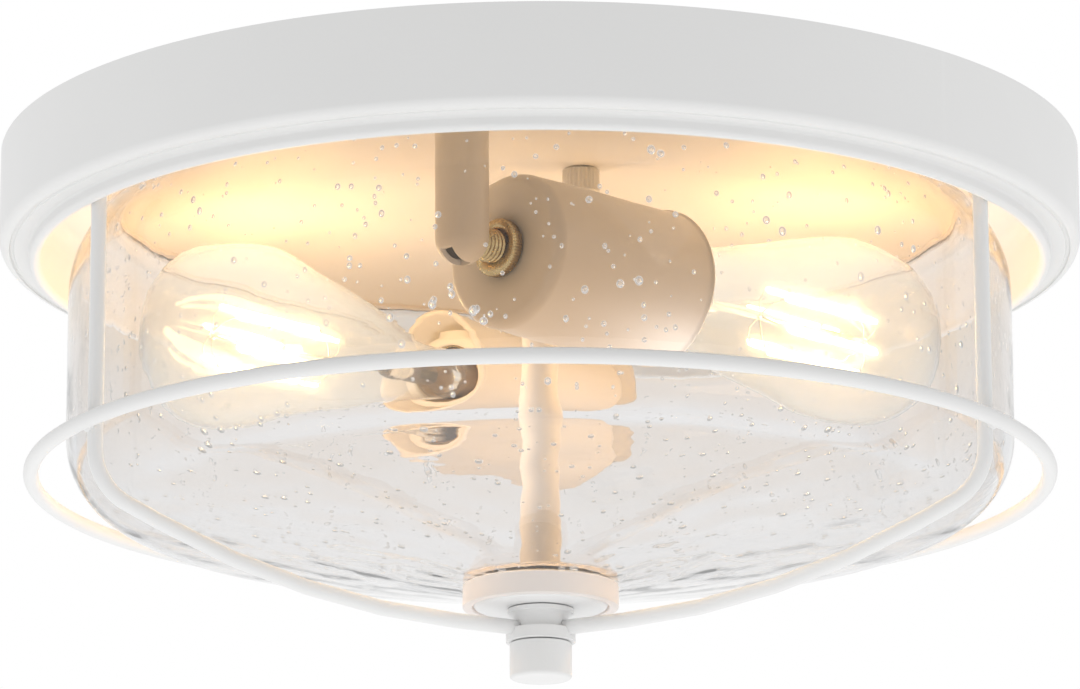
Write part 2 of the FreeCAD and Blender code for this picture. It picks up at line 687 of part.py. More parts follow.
def glass():
    wall = s.glass_wall
    rim = rim_depth()
    shoulder = shoulder_depth()
    corner = corner_depth()
    reach = s.glass_shoulder + s.glass_fillet
    centre = s.glass_radius - s.glass_shoulder
    fillet_depth = rim + s.neck_length

    def tangent(radius):
        share = radius / reach
        return centre + (reach - s.neck_step) * share, shoulder_rise() * share - shoulder

    corner_centre = s.glass_radius - s.glass_corner
    inner_corner = s.glass_corner - wall
    floor = glass_floor()
    half_turn = s.glass_slope / 2
    inner_flat = s.glass_flat - wall * sine(half_turn) / cosine(half_turn)
    outer_x, outer_z = tangent(s.glass_shoulder)
    inner_x, inner_z = tangent(s.glass_shoulder - wall)
    corners = [
        (s.glass_neck - wall, -rim),
        (s.glass_neck, -rim),
        (s.glass_neck, -fillet_depth),
        (outer_x, outer_z, s.glass_fillet, 1),
        (s.glass_radius, -shoulder, s.glass_shoulder, -1),
        (s.glass_radius, -corner),
        (corner_centre + s.glass_corner * sine(s.glass_slope),
         -(corner + s.glass_corner * cosine(s.glass_slope)), s.glass_corner, -1),
        (s.glass_flat, -floor),
        (s.glass_hole, -floor),
        (s.glass_hole, wall - floor),
        (inner_flat, wall - floor),
        (corner_centre + inner_corner * sine(s.glass_slope),
         -(corner + inner_corner * cosine(s.glass_slope))),
        (s.glass_radius - wall, -corner, inner_corner, 1),
        (s.glass_radius - wall, -shoulder),
        (inner_x, inner_z, s.glass_shoulder - wall, 1),
        (s.glass_neck - wall, -fillet_depth, s.glass_fillet + wall, -1),
    ]
    keep(turned("glass_shade", corners))
    keep(ring("glass_rim_seal", s.glass_neck - wall - s.seal_overlap, s.glass_neck + s.seal_overlap,
              -s.plate_depth, -(s.plate_depth + s.seal_height)))


# What holds the glass from below: gasket, cap, cage and knob.

def cap():
    bore = s.rod_radius + s.hub_play
    top = glass_floor() + s.seat_gap
    floor = top + s.gasket_floor
    keep(turned("cap_gasket", [
        (bore, -top),
        (s.gasket_radius, -top),
        (s.gasket_radius, -(top + s.gasket_skirt)),
        (s.cup_radius, -(top + s.gasket_skirt)),
        (s.cup_radius, -floor),
        (bore, -floor),
    ]))
    end = cap_end()
    keep(turned("glass_cap", [
        (bore, s.cup_sheet - end),
        (s.cup_radius - s.cup_sheet, s.cup_sheet - end),
        (s.cup_radius - s.cup_sheet, -floor),
        (s.cup_radius, -floor),
        (s.cup_radius, -end),
        (bore, -end),
    ]))


def upright_path(radius, bottom):
    """half of the cage's wire path: down, round the bend, along the slope and the long sweep to the hub"""
    slope = s.upright_slope
    across = cosine(slope)
    bend_x = radius - s.upright_bend + s.upright_bend * sine(slope)
    run_x = bend_x - s.upright_run * across
    sweep = (run_x - s.upright_flat) / sine(slope)
    low = s.upright_seat - hub_end()
    run_z = low + sweep - sweep * across
    bend_z = run_z + s.upright_run * sine(slope)
    bend_top = bend_z + s.upright_bend * across
    return [
        (radius, -s.upright_top),
        (radius, bend_top),
        (bend_x, bend_z, s.upright_bend, -1),
        (run_x, run_z),
        (s.upright_flat, low, sweep, -1),
        (bottom, low),
    ]


def cage():
    radius = s.collar_inner - s.wire_play - s.wire_radius
    bore = s.rod_radius + s.hub_play
    hub_top = cap_end() + s.seat_gap
    hub_floor = hub_end()
    collar_top = hub_floor - s.hub_collar_height
    flange_end = hub_top + s.hub_flange_height
    keep(turned("cage_hub", [
        (bore, -hub_top),
        (s.hub_flange, -hub_top),
        (s.hub_flange, -flange_end),
        (s.hub_waist, -(flange_end + s.hub_hollow), s.hub_hollow, 1),
        (s.hub_waist, -collar_top),
        (s.hub_collar, -collar_top),
        (s.hub_collar, -hub_floor),
        (bore, -hub_floor),
    ]))
    path = upright_path(radius, s.hub_waist - s.weld_bite)
    uprights = []
    for number in range(s.upright_count.value):
        angle = s.upright_angle.value + 360 / s.upright_count.value * number
        body = new_body(f"upright_{number}")
        spine = new_sketch(body, "XZ_Plane", f"upright_path_{number}")
        draw(spine, path, closed=False)
        section = new_sketch(body, "XY_Plane", f"upright_section_{number}", -s.upright_top)
        middle = FreeCAD.Vector(radius.value, 0, 0)
        section.addGeometry(Part.Circle(middle, UP, s.wire_radius.value), False)
        section.addConstraint(Sketcher.Constraint("PointOnObject", 0, 3, -1))
        section.addConstraint(Sketcher.Constraint("DistanceX", -1, 1, 0, 3, radius.value))
        section.setExpression("Constraints[1]", radius.text)
        section.addConstraint(Sketcher.Constraint("Radius", 0, s.wire_radius.value))
        section.setExpression("Constraints[2]", s.wire_radius.text)
        doc.recompute()
        wire = body.newObject("PartDesign::AdditivePipe", f"upright_wire_{number}")
        wire.Profile = section
        wire.Spine = spine
        doc.recompute()
        place(body, rotation=FreeCAD.Rotation(UP, angle))
        uprights.append(body)
    keep(group("cage_uprights", uprights))
    hoop = doc.addObject("Part::Torus", "cage_ring")
    bind(hoop, Radius1=radius + s.wire_radius * 2 - s.weld_bite, Radius2=s.wire_radius)
    keep(place(hoop, z=path[1][1] + s.ring_rise))
    knob_top = hub_floor + s.seat_gap
    knob_end = knob_top + s.knob_height
    run = s.rod_radius + s.run_gap
    hole_end = rod_end() + s.knob_bore_spare
    keep(turned("finial_knob", [
        (run, -knob_top),
        (s.knob_radius, -knob_top),
        (s.knob_radius, s.knob_edge - knob_end),
        (s.knob_radius - s.knob_edge, -knob_end),
        (ZERO, -knob_end),
        (ZERO, -hole_end),
        (run, -hole_end),
    ]))


# One lamp holder: arm, nipples, lock ring, cup, porcelain body, screw shell and contact, then the bulb.

def lamp(side, way):
    """everything of one socket; way is 1 for the rear socket and -1 for the front one"""
    facing = s.socket_angle.value + (180 if way > 0 else 0)
    turn = FreeCAD.Rotation(UP, facing)
    along = FreeCAD.Rotation(SIDEWAYS, 90)
    level = turn.multiply(along)

    def lay(piece):
        """lays a piece, made along Z, on the socket's axis"""
        return place(piece, socket_x * way, socket_y * way, -s.socket_depth, level)

    socket_x, socket_y = socket_place()
    arm_x, arm_y = (part * way for part in arm_place())
    bore = s.rod_radius + s.run_gap
    inside = s.arm_radius - s.arm_wall
    arm = turned(f"{side}_arm", [
        (bore, -s.plate_depth),
        (s.arm_radius, -s.plate_depth),
        (s.arm_radius, -s.socket_depth),
        (ZERO, -(s.socket_depth + s.arm_radius), s.arm_radius, -1),
        (ZERO, -(s.socket_depth + inside)),
        (inside, -s.socket_depth, inside, 1),
        (inside, -(s.plate_depth + s.arm_plug)),
        (bore, -(s.plate_depth + s.arm_plug)),
    ])
    hole = cylinder(f"{side}_arm_hole", bore, s.arm_radius + s.overrun, z=-s.socket_depth, rotation=along)
    slot = box(f"{side}_arm_slot", s.arm_radius + s.arm_wall, s.arm_slot, s.arm_slot_depth + s.overrun,
               -s.arm_radius, -s.arm_slot / 2, -(s.socket_depth + s.arm_radius + s.overrun))
    arm = cut(f"{side}_arm", arm, hole, slot)
    keep(place(arm, arm_x, arm_y, rotation=turn))

    nipple_end = s.plate_depth + s.arm_plug
    nipple = ring(f"{side}_arm_nipple", s.nipple_bore, s.rod_radius, -s.arm_nipple_top, -nipple_end)
    keep(place(nipple, arm_x, arm_y))
    back = s.plate_depth - s.pan_sheet
    keep(hex_nut(f"{side}_arm_nut", s.nut_flats, bore, s.nut_height, arm_x, arm_y, -back))

    keep(lay(ring(f"{side}_cross_nipple", s.nipple_bore, s.rod_radius, s.cross_end, -s.cross_inside)))
    keep(lay(ring(f"{side}_lock_ring", bore, s.ring_radius, ZERO, -s.ring_height)))
    keep(lay(hex_nut(f"{side}_cup_nut", s.nut_flats, bore, s.nut_height, z=s.shade_wall)))

    shade_inside = s.shade_radius - s.shade_wall
    inner_corner = s.shade_corner - s.shade_wall
    keep(lay(turned(f"{side}_socket_cup", [
        (bore, ZERO),
        (s.shade_radius - s.shade_corner, ZERO),
        (s.shade_radius, s.shade_corner, s.shade_corner, 1),
        (s.shade_radius, s.shade_length - s.lip_length),
        (s.shade_radius + s.lip_width, s.shade_length - s.lip_length / 2),
        (s.shade_radius, s.shade_length),
        (shade_inside, s.shade_length),
        (shade_inside, s.shade_corner),
        (s.shade_radius - s.shade_corner, s.shade_wall, inner_corner, -1),
        (bore, s.shade_wall),
    ])))
    seat = s.shade_wall + s.nut_height
    pocket = s.shell_radius + s.shell_wall + s.run_gap
    keep(lay(turned(f"{side}_socket_body", [
        (bore, seat),
        (s.porcelain_radius - s.porcelain_edge, seat),
        (s.porcelain_radius, seat + s.porcelain_edge),
        (s.porcelain_radius, s.porcelain_end - s.porcelain_edge),
        (s.porcelain_radius - s.porcelain_edge, s.porcelain_end),
        (pocket, s.porcelain_end),
        (pocket, s.porcelain_floor),
        (ZERO, s.porcelain_floor),
        (ZERO, s.cross_end),
        (bore, s.cross_end),
    ])))
    shell_outer = s.shell_radius + s.shell_wall
    keep(lay(turned(f"{side}_screw_shell", [
        (s.shell_hole, s.porcelain_floor),
        (shell_outer, s.porcelain_floor),
        (shell_outer, s.shell_end),
        (s.shell_radius, s.shell_end),
        (s.shell_radius, s.porcelain_floor + s.shell_wall),
        (s.shell_hole, s.porcelain_floor + s.shell_wall),
    ])))
    contact_end = s.porcelain_floor + s.contact_height
    keep(lay(turned(f"{side}_centre_contact", [
        (ZERO, s.porcelain_floor),
        (s.contact_radius, s.porcelain_floor),
        (s.contact_radius / 2, contact_end),
        (ZERO, contact_end),
    ])))
    bulb(side, lay, contact_end + s.seat_gap)


def bulb_shoulder():
    """reach of the widest part of a bulb, past its neck, flare, cone and blend"""
    lean = cosine(s.bulb_cone)
    tilt = sine(s.bulb_cone)
    rounds = s.bulb_flare + s.bulb_blend
    widening = s.bulb_radius - s.bulb_neck - rounds + rounds * lean
    return s.bulb_neck_end + rounds * tilt + widening * lean / tilt


def bulb_wall(offset):
    """the bulb's outline from neck to tip, moved in by an offset"""
    flare = s.bulb_flare + offset
    blend = s.bulb_blend - offset
    dome = s.bulb_radius - offset
    lean = cosine(s.bulb_cone)
    tilt = sine(s.bulb_cone)
    neck = s.bulb_neck - offset
    flare_x = neck + flare - flare * lean
    flare_z = s.bulb_neck_end + flare * tilt
    cone_x = dome - blend + blend * lean
    shoulder = bulb_shoulder()
    cone_z = shoulder - blend * tilt
    return [
        (neck, s.bulb_start),
        (neck, s.bulb_neck_end),
        (flare_x, flare_z, flare, -1),
        (cone_x, cone_z),
        (dome, shoulder, blend, 1),
        (ZERO, shoulder + dome, dome, 1),
    ]


def bulb(side, lay, base_seat):
    """the bulb's glass, screw base, glass mount and glowing strips"""
    outside = bulb_wall(ZERO)
    inside = bulb_wall(s.bulb_wall)
    back = []
    for index in range(len(inside) - 1, 0, -1):
        x, z = inside[index - 1][:2]
        arc = inside[index]
        back.append((x, z, arc[2], -arc[3]) if len(arc) == 4 else (x, z))
    keep(lay(turned(f"{side}_bulb_glass", outside + [inside[-1][:2]] + back)))

    base_end = s.base_start - s.base_taper
    base_inside = s.base_radius - s.base_wall
    keep(lay(turned(f"{side}_bulb_base", [
        (s.base_floor, base_end),
        (s.base_radius, s.base_start),
        (s.base_radius, s.base_end),
        (base_inside, s.base_end),
        (base_inside, s.base_start + s.base_wall),
        (s.base_floor, base_end + s.base_wall),
    ])))
    keep(lay(turned(f"{side}_bulb_eyelet", [
        (ZERO, base_seat),
        (s.eyelet_radius, base_seat),
        (s.base_floor, base_end),
        (s.base_floor, base_end + s.base_wall),
        (ZERO, base_end + s.base_wall),
    ])))
    foot_radius = s.bulb_neck - s.bulb_wall - s.run_gap
    strip_end = bulb_shoulder() + s.strip_rise
    strip_start = strip_end - s.strip_length
    mount_end = strip_end + s.mount_spare
    keep(lay(turned(f"{side}_bulb_mount", [
        (ZERO, s.mount_foot),
        (foot_radius, s.mount_foot),
        (foot_radius, s.mount_foot + s.mount_foot_height),
        (s.mount_stem, s.mount_foot + s.mount_foot_height * 2),
        (s.mount_rod, strip_start - s.waist_drop),
        (s.mount_rod, mount_end),
        (ZERO, mount_end),
    ])))
    strips = []
    for number in range(s.strip_count.value):
        angle = 360 / s.strip_count.value * number
        out = FreeCAD.Rotation(UP, angle).multiply(FreeCAD.Rotation(SIDEWAYS, 90))
        x = s.strip_orbit * as_size(math.cos(math.radians(angle)))
        y = s.strip_orbit * as_size(math.sin(math.radians(angle)))
        strips.append(cylinder(f"{side}_strip_{number}", s.strip_radius, s.strip_length, x, y, strip_start))
        for end, reach in (("low", strip_start + s.support_inset), ("high", strip_end - s.support_inset)):
            support = cylinder(f"{side}_support_{end}_{number}", s.support_radius, s.strip_orbit,
                               z=reach, rotation=out)
            strips.append(support)
    wires = fuse(f"{side}_filament_whole", *strips)
    rod = cylinder(f"{side}_filament_room", s.mount_rod + s.run_gap, mount_end)
    keep(lay(cut(f"{side}_filament", wires, rod)))


keep(pan())
bracket()
stem()
glass()
cap()
cage()
for side, way in SIDES:
    lamp(side, way)

doc.recompute()
faults = [thing.Label for thing in doc.Objects if "Invalid" in thing.State or "Error" in thing.State]
if faults:
    raise ValueError(f"failed objects: {faults}")
for node in nodes:
    if node.Shape.isNull() or not node.Shape.isValid():
        raise ValueError(f"bad shape: {node.Label}")

os.makedirs("parts", exist_ok=True)
for node in nodes:
    node.Shape.exportStep(f"parts/{node.Label}.step")
print(len(nodes), "nodes,", sum(len(node.Shape.Solids) for node in nodes), "solids")
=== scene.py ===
"""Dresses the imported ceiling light: painted metal, seeded glass, lit bulbs, threads and knurling.

It also sets the light in a pale studio and aims the camera as the photograph does.
"""

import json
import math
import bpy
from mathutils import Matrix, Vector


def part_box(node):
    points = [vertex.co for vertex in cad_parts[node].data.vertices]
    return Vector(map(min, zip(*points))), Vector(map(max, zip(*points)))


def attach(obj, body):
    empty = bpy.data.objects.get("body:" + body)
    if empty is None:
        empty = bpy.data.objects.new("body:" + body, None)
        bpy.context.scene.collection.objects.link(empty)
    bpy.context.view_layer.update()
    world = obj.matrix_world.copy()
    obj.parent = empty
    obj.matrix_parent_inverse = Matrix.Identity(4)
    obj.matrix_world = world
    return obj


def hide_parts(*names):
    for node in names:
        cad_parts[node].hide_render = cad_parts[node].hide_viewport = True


bl_info = {
    "name": "Seeded Glass Ceiling Light",
    "version": (1, 0, 0),
    "blender": (4, 5, 0),
    "location": "3D View > Sidebar > Ceiling Light",
    "description": "Dresses the packed ceiling light and sets it in a pale studio",
    "category": "Object",
}

import bpy
import numpy as np
from bpy.props import FloatProperty, FloatVectorProperty, IntProperty, PointerProperty
from bpy.types import Operator, Panel, PropertyGroup

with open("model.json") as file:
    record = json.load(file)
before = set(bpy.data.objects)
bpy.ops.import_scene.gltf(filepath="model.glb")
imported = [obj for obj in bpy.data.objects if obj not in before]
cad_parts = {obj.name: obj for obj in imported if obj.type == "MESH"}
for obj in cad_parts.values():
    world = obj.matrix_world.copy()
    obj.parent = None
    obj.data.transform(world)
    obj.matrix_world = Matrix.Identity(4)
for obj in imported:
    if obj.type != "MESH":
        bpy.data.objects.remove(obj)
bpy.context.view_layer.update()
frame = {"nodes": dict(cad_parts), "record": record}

# Lengths in the shape functions are millimetres. Properties and meshes are metres.
MM = 0.001
UP = np.array((0, 0, 1.0))
ARC_STEP = math.radians(7)
BEVEL_ANGLE = math.radians(32)
WELD_GRID = 2000  # points in the same 2000th of a millimetre become one

# What the random draws start from: the waves in the glass, and its bubbles.
WAVE_CHANCE = 7
SEED_CHANCE = 11

# Threads, nuts and holes that several pieces share.
NIPPLE_PITCH = 1.4
SCREW_PITCH = 3.6
SCREW_SEGMENTS = 72
STUD_PITCH = 0.8
NUT_FLATS = 14
NUT_BORE = 4.9
ROD_HOLE = 5.1
NIPPLE_HOLE = 4.96

# The lamp holders, how far along their axes the lamps and the middle of the glow painted on the
# bulb glass lie, and the reach of that painted glow and the radius of each lamp in metres.
SIDES = (("front", 1), ("rear", -1))
LAMP_PLACE = 134
PAINTED_GLOW_PLACE = 114
PAINTED_GLOW_REACH = 0.1
LAMP_SIZE = 0.014

# The stage: half its width and the radius of its lamps in metres, and the soft white lights at
# the bottom of the glass.
STAGE_HALF = 30
FILL_SIZE = 0.02
FILL_PLACES = ((-30, -20, -88), (45, -70, -92), (38, 48, -96), (-55, 25, -92))


def length(name, millimetres, description):
    """a length property whose default is written in millimetres"""
    return FloatProperty(name=name, description=description, default=millimetres * MM,
                         unit="LENGTH", precision=5)


def slant(name, degrees, description):
    """an angle property whose default is written in degrees"""
    return FloatProperty(name=name, description=description, default=math.radians(degrees),
                         subtype="ANGLE")


def power(name, watts, description):
    return FloatProperty(name=name, description=description, default=watts, unit="POWER", min=0)


def colour(name, default, description):
    return FloatVectorProperty(name=name, description=description, default=default,
                               subtype="COLOR", min=0, max=1)


def share(name, default, description):
    return FloatProperty(name=name, description=description, default=default,
                         subtype="FACTOR", min=0, max=1)


def count(name, default, description):
    return IntProperty(name=name, description=description, default=default, min=1)


# What a user would change.

class PaintSettings(PropertyGroup):
    paint: colour("Paint", (0.80, 0.80, 0.795), "White powder paint on all sheet metal and wire")
    roughness: share("Roughness", 0.42, "Roughness of the paint")
    peel: length("Peel", 0.03, "Depth of the paint's fine orange peel")
    steel: colour("Zinc plate", (0.72, 0.72, 0.70), "Zinc plated steel behind the pan")
    brass: colour("Brass", (0.58, 0.43, 0.21), "Brass of lock rings, nipples and shells")
    porcelain: colour("Porcelain", (0.90, 0.89, 0.86), "Glazed porcelain of the sockets")
    silicone: colour("Silicone", (0.90, 0.88, 0.87), "Clear silicone of gasket and seal")
    earth: colour("Earth screw", (0.03, 0.32, 0.10), "Green of the earth screw")


class PanSettings(PropertyGroup):
    radius: length("Radius", 160, "Outside of the skirt")
    depth: length("Depth", 29.5, "Underside below the ceiling")
    sheet: length("Sheet", 1.2, "Thickness of the metal")
    corner: length("Corner", 3, "Radius between skirt and underside")
    groove: length("Groove place", 156.4, "Radius of the groove in the underside")
    groove_width: length("Groove width", 0.8, "Width of the groove")
    groove_depth: length("Groove depth", 0.5, "Depth of the groove")
    collar_outer: length("Collar outside", 151.2, "Outside radius of the collar")
    collar_inner: length("Opening", 147.8, "Radius of the opening")
    collar_depth: length("Collar depth", 33.5, "Lowest point of the collar")
    plate_depth: length("Plate depth", 13, "Underside of the back plate")
    plate_corner: length("Plate corner", 5, "Radius between opening and back plate")


class ShadeSettings(PropertyGroup):
    radius: length("Radius", 139.5, "Outside radius of the glass")
    wall: length("Wall", 3, "Thickness of the glass")
    neck: length("Neck", 129.5, "Outside radius at the rim")
    rim: length("Rim depth", 14.3, "Depth of the rim")
    shoulder: length("Shoulder", 30, "Radius of the shoulder")
    fillet: length("Fillet", 6, "Radius between shoulder and neck")
    shoulder_depth: length("Shoulder depth", 43, "Depth at which the shoulder begins")
    corner_depth: length("Corner depth", 86, "Depth at which the lower corner begins")
    corner: length("Corner", 23, "Radius of the lower corner")
    slope: slant("Slope", 11.5, "Slope of the bottom")
    flat: length("Flat", 24, "Radius of the flat middle")
    hole: length("Hole", 6.5, "Radius of the hole for the rod")
    wave: length("Wave", 0.035, "Height of the uneven waves in the blown glass")
    tint: colour("Tint", (0.958, 0.95, 0.945), "Colour given to what is seen through the glass")
    edge: colour("Edge", (0.60, 0.61, 0.63), "Colour of the glass where it is seen edge on")
    seeds: count("Seeds", 2600, "Number of air bubbles in the glass")
    seed_radius: length("Seed radius", 0.5, "Usual radius of a bubble")
    seed_strength: share("Seed strength", 0.6, "How strongly the bubbles bend the view")
    # Strength of the painted white highlight that glows on the bubbles' rims.
    seed_painted_glint: share("Seed glint", 0.75, "How bright the bubbles' rims shine")


class CageSettings(PropertyGroup):
    wire: length("Wire", 2.25, "Radius of the wire")
    ring_radius: length("Ring", 149.5, "Radius of the ring's centre line")
    ring_depth: length("Ring depth", 97.1, "Depth of the ring")
    upright_radius: length("Upright", 145.2, "Distance of the uprights from the middle")
    upright_top: length("Upright top", 22, "Depth of the upper ends")
    bend_depth: length("Bend depth", 104, "Depth at which an upright bends inwards")
    bend: length("Bend", 16, "Radius of that bend")
    slope: slant("Slope", 22, "Slope after the bend")
    run: length("Run", 11, "Length of the sloping straight")
    sweep: length("Sweep", 258, "Radius of the long sweep under the glass")
    uprights: count("Uprights", 3, "Number of uprights")
    weld: length("Weld", 1.7, "Size of the weld beads between ring and uprights")


class GlowSettings(PropertyGroup):
    light: colour("Light", (1.0, 0.58, 0.25), "Colour of the bulbs' light")
    power: power("Power", 0.17, "Power of each bulb's light")
    strip: colour("Strip", (1.0, 0.76, 0.38), "Colour of the glowing strips")
    strength: FloatProperty(name="Strength", description="Brightness of the glowing strips",
                            default=420, min=0)
    thrown: share("Thrown", 0.015, "Share of the strips' brightness that lights other things")
    haze: share("Haze", 0.14, "Share of the bulb glass that scatters the strips' light into a glow")
    spread: share("Spread", 0.35, "How far that share scatters the light")
    # The painted glow that the bulb glass gives off round the strips: its brightness and colour.
    painted_glow: share("Veil", 0.03, "Brightness of the bulb glass round the strips")
    painted_glow_colour: colour("Veil colour", (1.0, 0.66, 0.24), "Colour of that brightness")
    bulb: colour("Bulb glass", (1.0, 0.985, 0.95), "Tint of the bulb glass")
    edge: colour("Bulb edge", (0.93, 0.90, 0.85), "Colour of the bulb glass seen edge on")


class StageSettings(PropertyGroup):
    distance: length("Camera distance", 1741, "Camera to the middle of the light, in plan")
    height: length("Camera height", -506, "Height of the camera; below the ceiling is negative")
    aim: length("Aim height", -55.4, "Height of the point looked at")
    roll: slant("Roll", -0.15, "Turn of the camera about its own axis")
    lens: FloatProperty(name="Lens", description="Focal length", default=202.5, unit="CAMERA")
    floor: length("Floor", -1000, "Height of the floor")
    floor_colour: colour("Floor colour", (0.86, 0.86, 0.86), "Colour of the pale floor")
    # The ceiling's painted pool of lamp light: its warm middle and the ring where it fades.
    ceiling_lamp_pool: colour("Ceiling near", (1.0, 0.76, 0.48), "Ceiling just past the light")
    ceiling_pool_fade: colour("Ceiling middle", (0.86, 0.81, 0.76), "Ceiling a little further out")
    ceiling_far: colour("Ceiling far", (0.90, 0.91, 0.92), "Colour of the far ceiling")
    ambient: share("Ambient", 0.67, "Level of the studio's even light")
    below: share("Below", 0.55, "Extra light from below")
    sides: share("Sides", 0.18, "Extra light from both sides")
    front: share("Front", 0.8, "How much darker the studio behind the camera is when mirrored")
    shaded: share("Shaded", 0.95, "Level of the warm light that the glass sends back inside")
    shaded_colour: colour("Shaded colour", (1.0, 0.57, 0.22), "Colour of that light")
    shaded_front: share("Shaded front", 0.8, "How much weaker the warm light is from the front")
    shaded_below: share("Shaded below", 0.1, "White light from below inside the glass")
    fill: power("Fill", 0.025, "Power of each soft white light at the bottom of the glass")


# Shader sums in Python.

class Wire:
    """one socket of a node tree, for sums written in Python"""

    def __init__(self, board, socket):
        self.board = board
        self.socket = socket

    def __add__(self, other):
        return self.board.maths("ADD", self, other)

    def __rsub__(self, other):
        return self.board.maths("SUBTRACT", other, self)

    def __mul__(self, other):
        return self.board.maths("MULTIPLY", self, other)

    def __truediv__(self, other):
        return self.board.maths("DIVIDE", self, other)

    __radd__ = __add__
    __rmul__ = __mul__


class Board:
    """a node tree whose nodes all come from one method"""

    def __init__(self, tree):
        self.tree = tree
        tree.nodes.clear()

    def node(self, kind, inputs=None, output=0, stops=None, **settings):
        """adds a node: its settings and ramp stops first, then its sockets' values or links"""
        made = self.tree.nodes.new(kind)
        for name, value in settings.items():
            setattr(made, name, value)
        if stops:
            ramp = made.color_ramp.elements
            while len(ramp) < len(stops):
                ramp.new(1)
            for element, (position, shade) in zip(ramp, stops):
                element.position = position
                element.color = (shade, shade, shade, 1)
        for name, value in (inputs or {}).items():
            socket = made.inputs[name]
            if isinstance(value, Wire):
                self.tree.links.new(value.socket, socket)
            elif isinstance(value, tuple) and len(value) == 3 and socket.type == "RGBA":
                socket.default_value = (*value, 1)
            else:
                socket.default_value = value
        return Wire(self, made.outputs[output])

    def maths(self, operation, *values):
        return self.node("ShaderNodeMath", dict(enumerate(values)), operation=operation)

    def vector(self, operation, inputs, output="Value"):
        return self.node("ShaderNodeVectorMath", inputs, output=output, operation=operation)

    def blend(self, factor, first, second):
        """mixes two colours"""
        return self.node("ShaderNodeMix", {0: factor, 6: first, 7: second}, output=2,
                         data_type="RGBA")

    def mix(self, factor, first, second):
        """mixes two shaders"""
        return self.node("ShaderNodeMixShader", {0: factor, 1: first, 2: second})

    def grey(self, value):
        """a grey of this level"""
        return self.node("ShaderNodeCombineColor", {0: value, 1: value, 2: value})

    def ramp(self, value, *stops):
        """a grey ramp of (position, shade) stops"""
        return self.node("ShaderNodeValToRGB", {"Fac": value}, stops=stops)

    def paths(self, *names):
        """what the light path says of the ray, one answer for each name"""
        return [self.node("ShaderNodeLightPath", output=name) for name in names]

    def end(self, kind, shader):
        out = self.tree.nodes.new(kind)
        self.tree.links.new(shader.socket, out.inputs["Surface"])


class Finish(Board):
    """a material: textures on Object coordinates, a Principled shader and an output"""

    def __init__(self, name):
        self.material = bpy.data.materials.new(name + "_finish")
        self.material.use_nodes = True
        super().__init__(self.material.node_tree)
        self.place = self.node("ShaderNodeTexCoord", output="Object")

    def noise(self, size, detail=2, stretch=(1, 1, 1)):
        """soft noise whose grains are about this many millimetres across"""
        place = self.node("ShaderNodeMapping", {"Vector": self.place, "Scale": stretch})
        return self.node("ShaderNodeTexNoise",
                         {"Vector": place, "Scale": 1 / (size * MM), "Detail": detail})

    def cells(self, size):
        """distance from the middle of cells that are about this many millimetres across"""
        return self.node("ShaderNodeTexVoronoi", {"Vector": self.place, "Scale": 1 / (size * MM)},
                         output="Distance", feature="F1")

    def bump(self, height, depth):
        """a bump of this many millimetres"""
        return self.node("ShaderNodeBump",
                         {"Strength": 1.0, "Distance": depth * MM, "Height": height})

    def principled(self, **sockets):
        """a Principled shader; underscores in socket names stand for spaces"""
        return self.node("ShaderNodeBsdfPrincipled",
                         {key.replace("_", " "): value for key, value in sockets.items()})

    def facing(self):
        """0 where the surface is seen straight on, 1 where it is seen edge on"""
        return self.node("ShaderNodeLayerWeight", {"Blend": 0.5}, output="Facing")

    def edged(self, tint, edge):
        """a glass tint that deepens towards the edge colour where the glass is seen edge on"""
        facing = self.facing()
        return self.blend(facing * facing * facing, tuple(tint), tuple(edge))

    def lets_light_by(self, shader, tint=(1, 1, 1)):
        """the shader, except that light to or from a matt surface passes straight through"""
        passing = self.node("ShaderNodeBsdfTransparent", {"Color": tint})
        shadow, diffuse = self.paths("Is Shadow Ray", "Is Diffuse Ray")
        return self.mix(self.maths("MAXIMUM", shadow, diffuse), shader, passing)

    def done(self, shader):
        self.end("ShaderNodeOutputMaterial", shader)
        return self.material


def dimmed(shade, level):
    """a colour at this level of its brightness"""
    return tuple(part * level for part in shade)


def paint_finish(settings):
    """satin white powder paint: fine orange peel and faint clouding"""
    finish = Finish("white_paint")
    cloud = finish.noise(28)
    peel = finish.noise(0.9, detail=3)
    base = finish.blend(cloud, tuple(settings.paint), dimmed(settings.paint, 0.975))
    rough = settings.roughness - 0.05 + cloud * 0.1
    return finish.done(finish.principled(
        Base_Color=base, Roughness=rough, IOR=1.5, Normal=finish.bump(peel, settings.peel / MM)))


def zinc_finish(settings):
    """bright zinc plate: faint spangle, drawn lines and dull patches"""
    finish = Finish("zinc_steel")
    spangle = finish.cells(2.4)
    lines = finish.noise(0.35, detail=3, stretch=(0.08, 1, 1))
    patch = finish.noise(9)
    base = finish.blend(patch, tuple(settings.steel), dimmed(settings.steel, 0.82))
    rough = 0.24 + patch * 0.22 + spangle * 0.08
    return finish.done(finish.principled(
        Base_Color=base, Metallic=1.0, Roughness=rough, Normal=finish.bump(lines, 0.012)))


def brass_finish(settings):
    """turned brass: fine turning marks and a little brown tarnish"""
    finish = Finish("brass")
    marks = finish.noise(0.25, detail=2)
    tarnish = finish.ramp(finish.noise(3.2, detail=3), (0.42, 0), (0.72, 1))
    brass = tuple(settings.brass)
    dull = (brass[0] * 0.8, brass[1] * 0.75, brass[2] * 0.7)
    rough = 0.2 + tarnish * 0.25
    return finish.done(finish.principled(
        Base_Color=finish.blend(tarnish, brass, dull), Metallic=1.0, Roughness=rough,
        Normal=finish.bump(marks, 0.01)))


def contact_finish(settings):
    """nickelled brass of the bulbs' bases"""
    finish = Finish("base_metal")
    stain = finish.noise(2.5, detail=3)
    base = finish.blend(stain, (0.50, 0.31, 0.12), (0.28, 0.16, 0.06))
    return finish.done(finish.principled(
        Base_Color=base, Metallic=0.55, Roughness=0.3 + stain * 0.2))


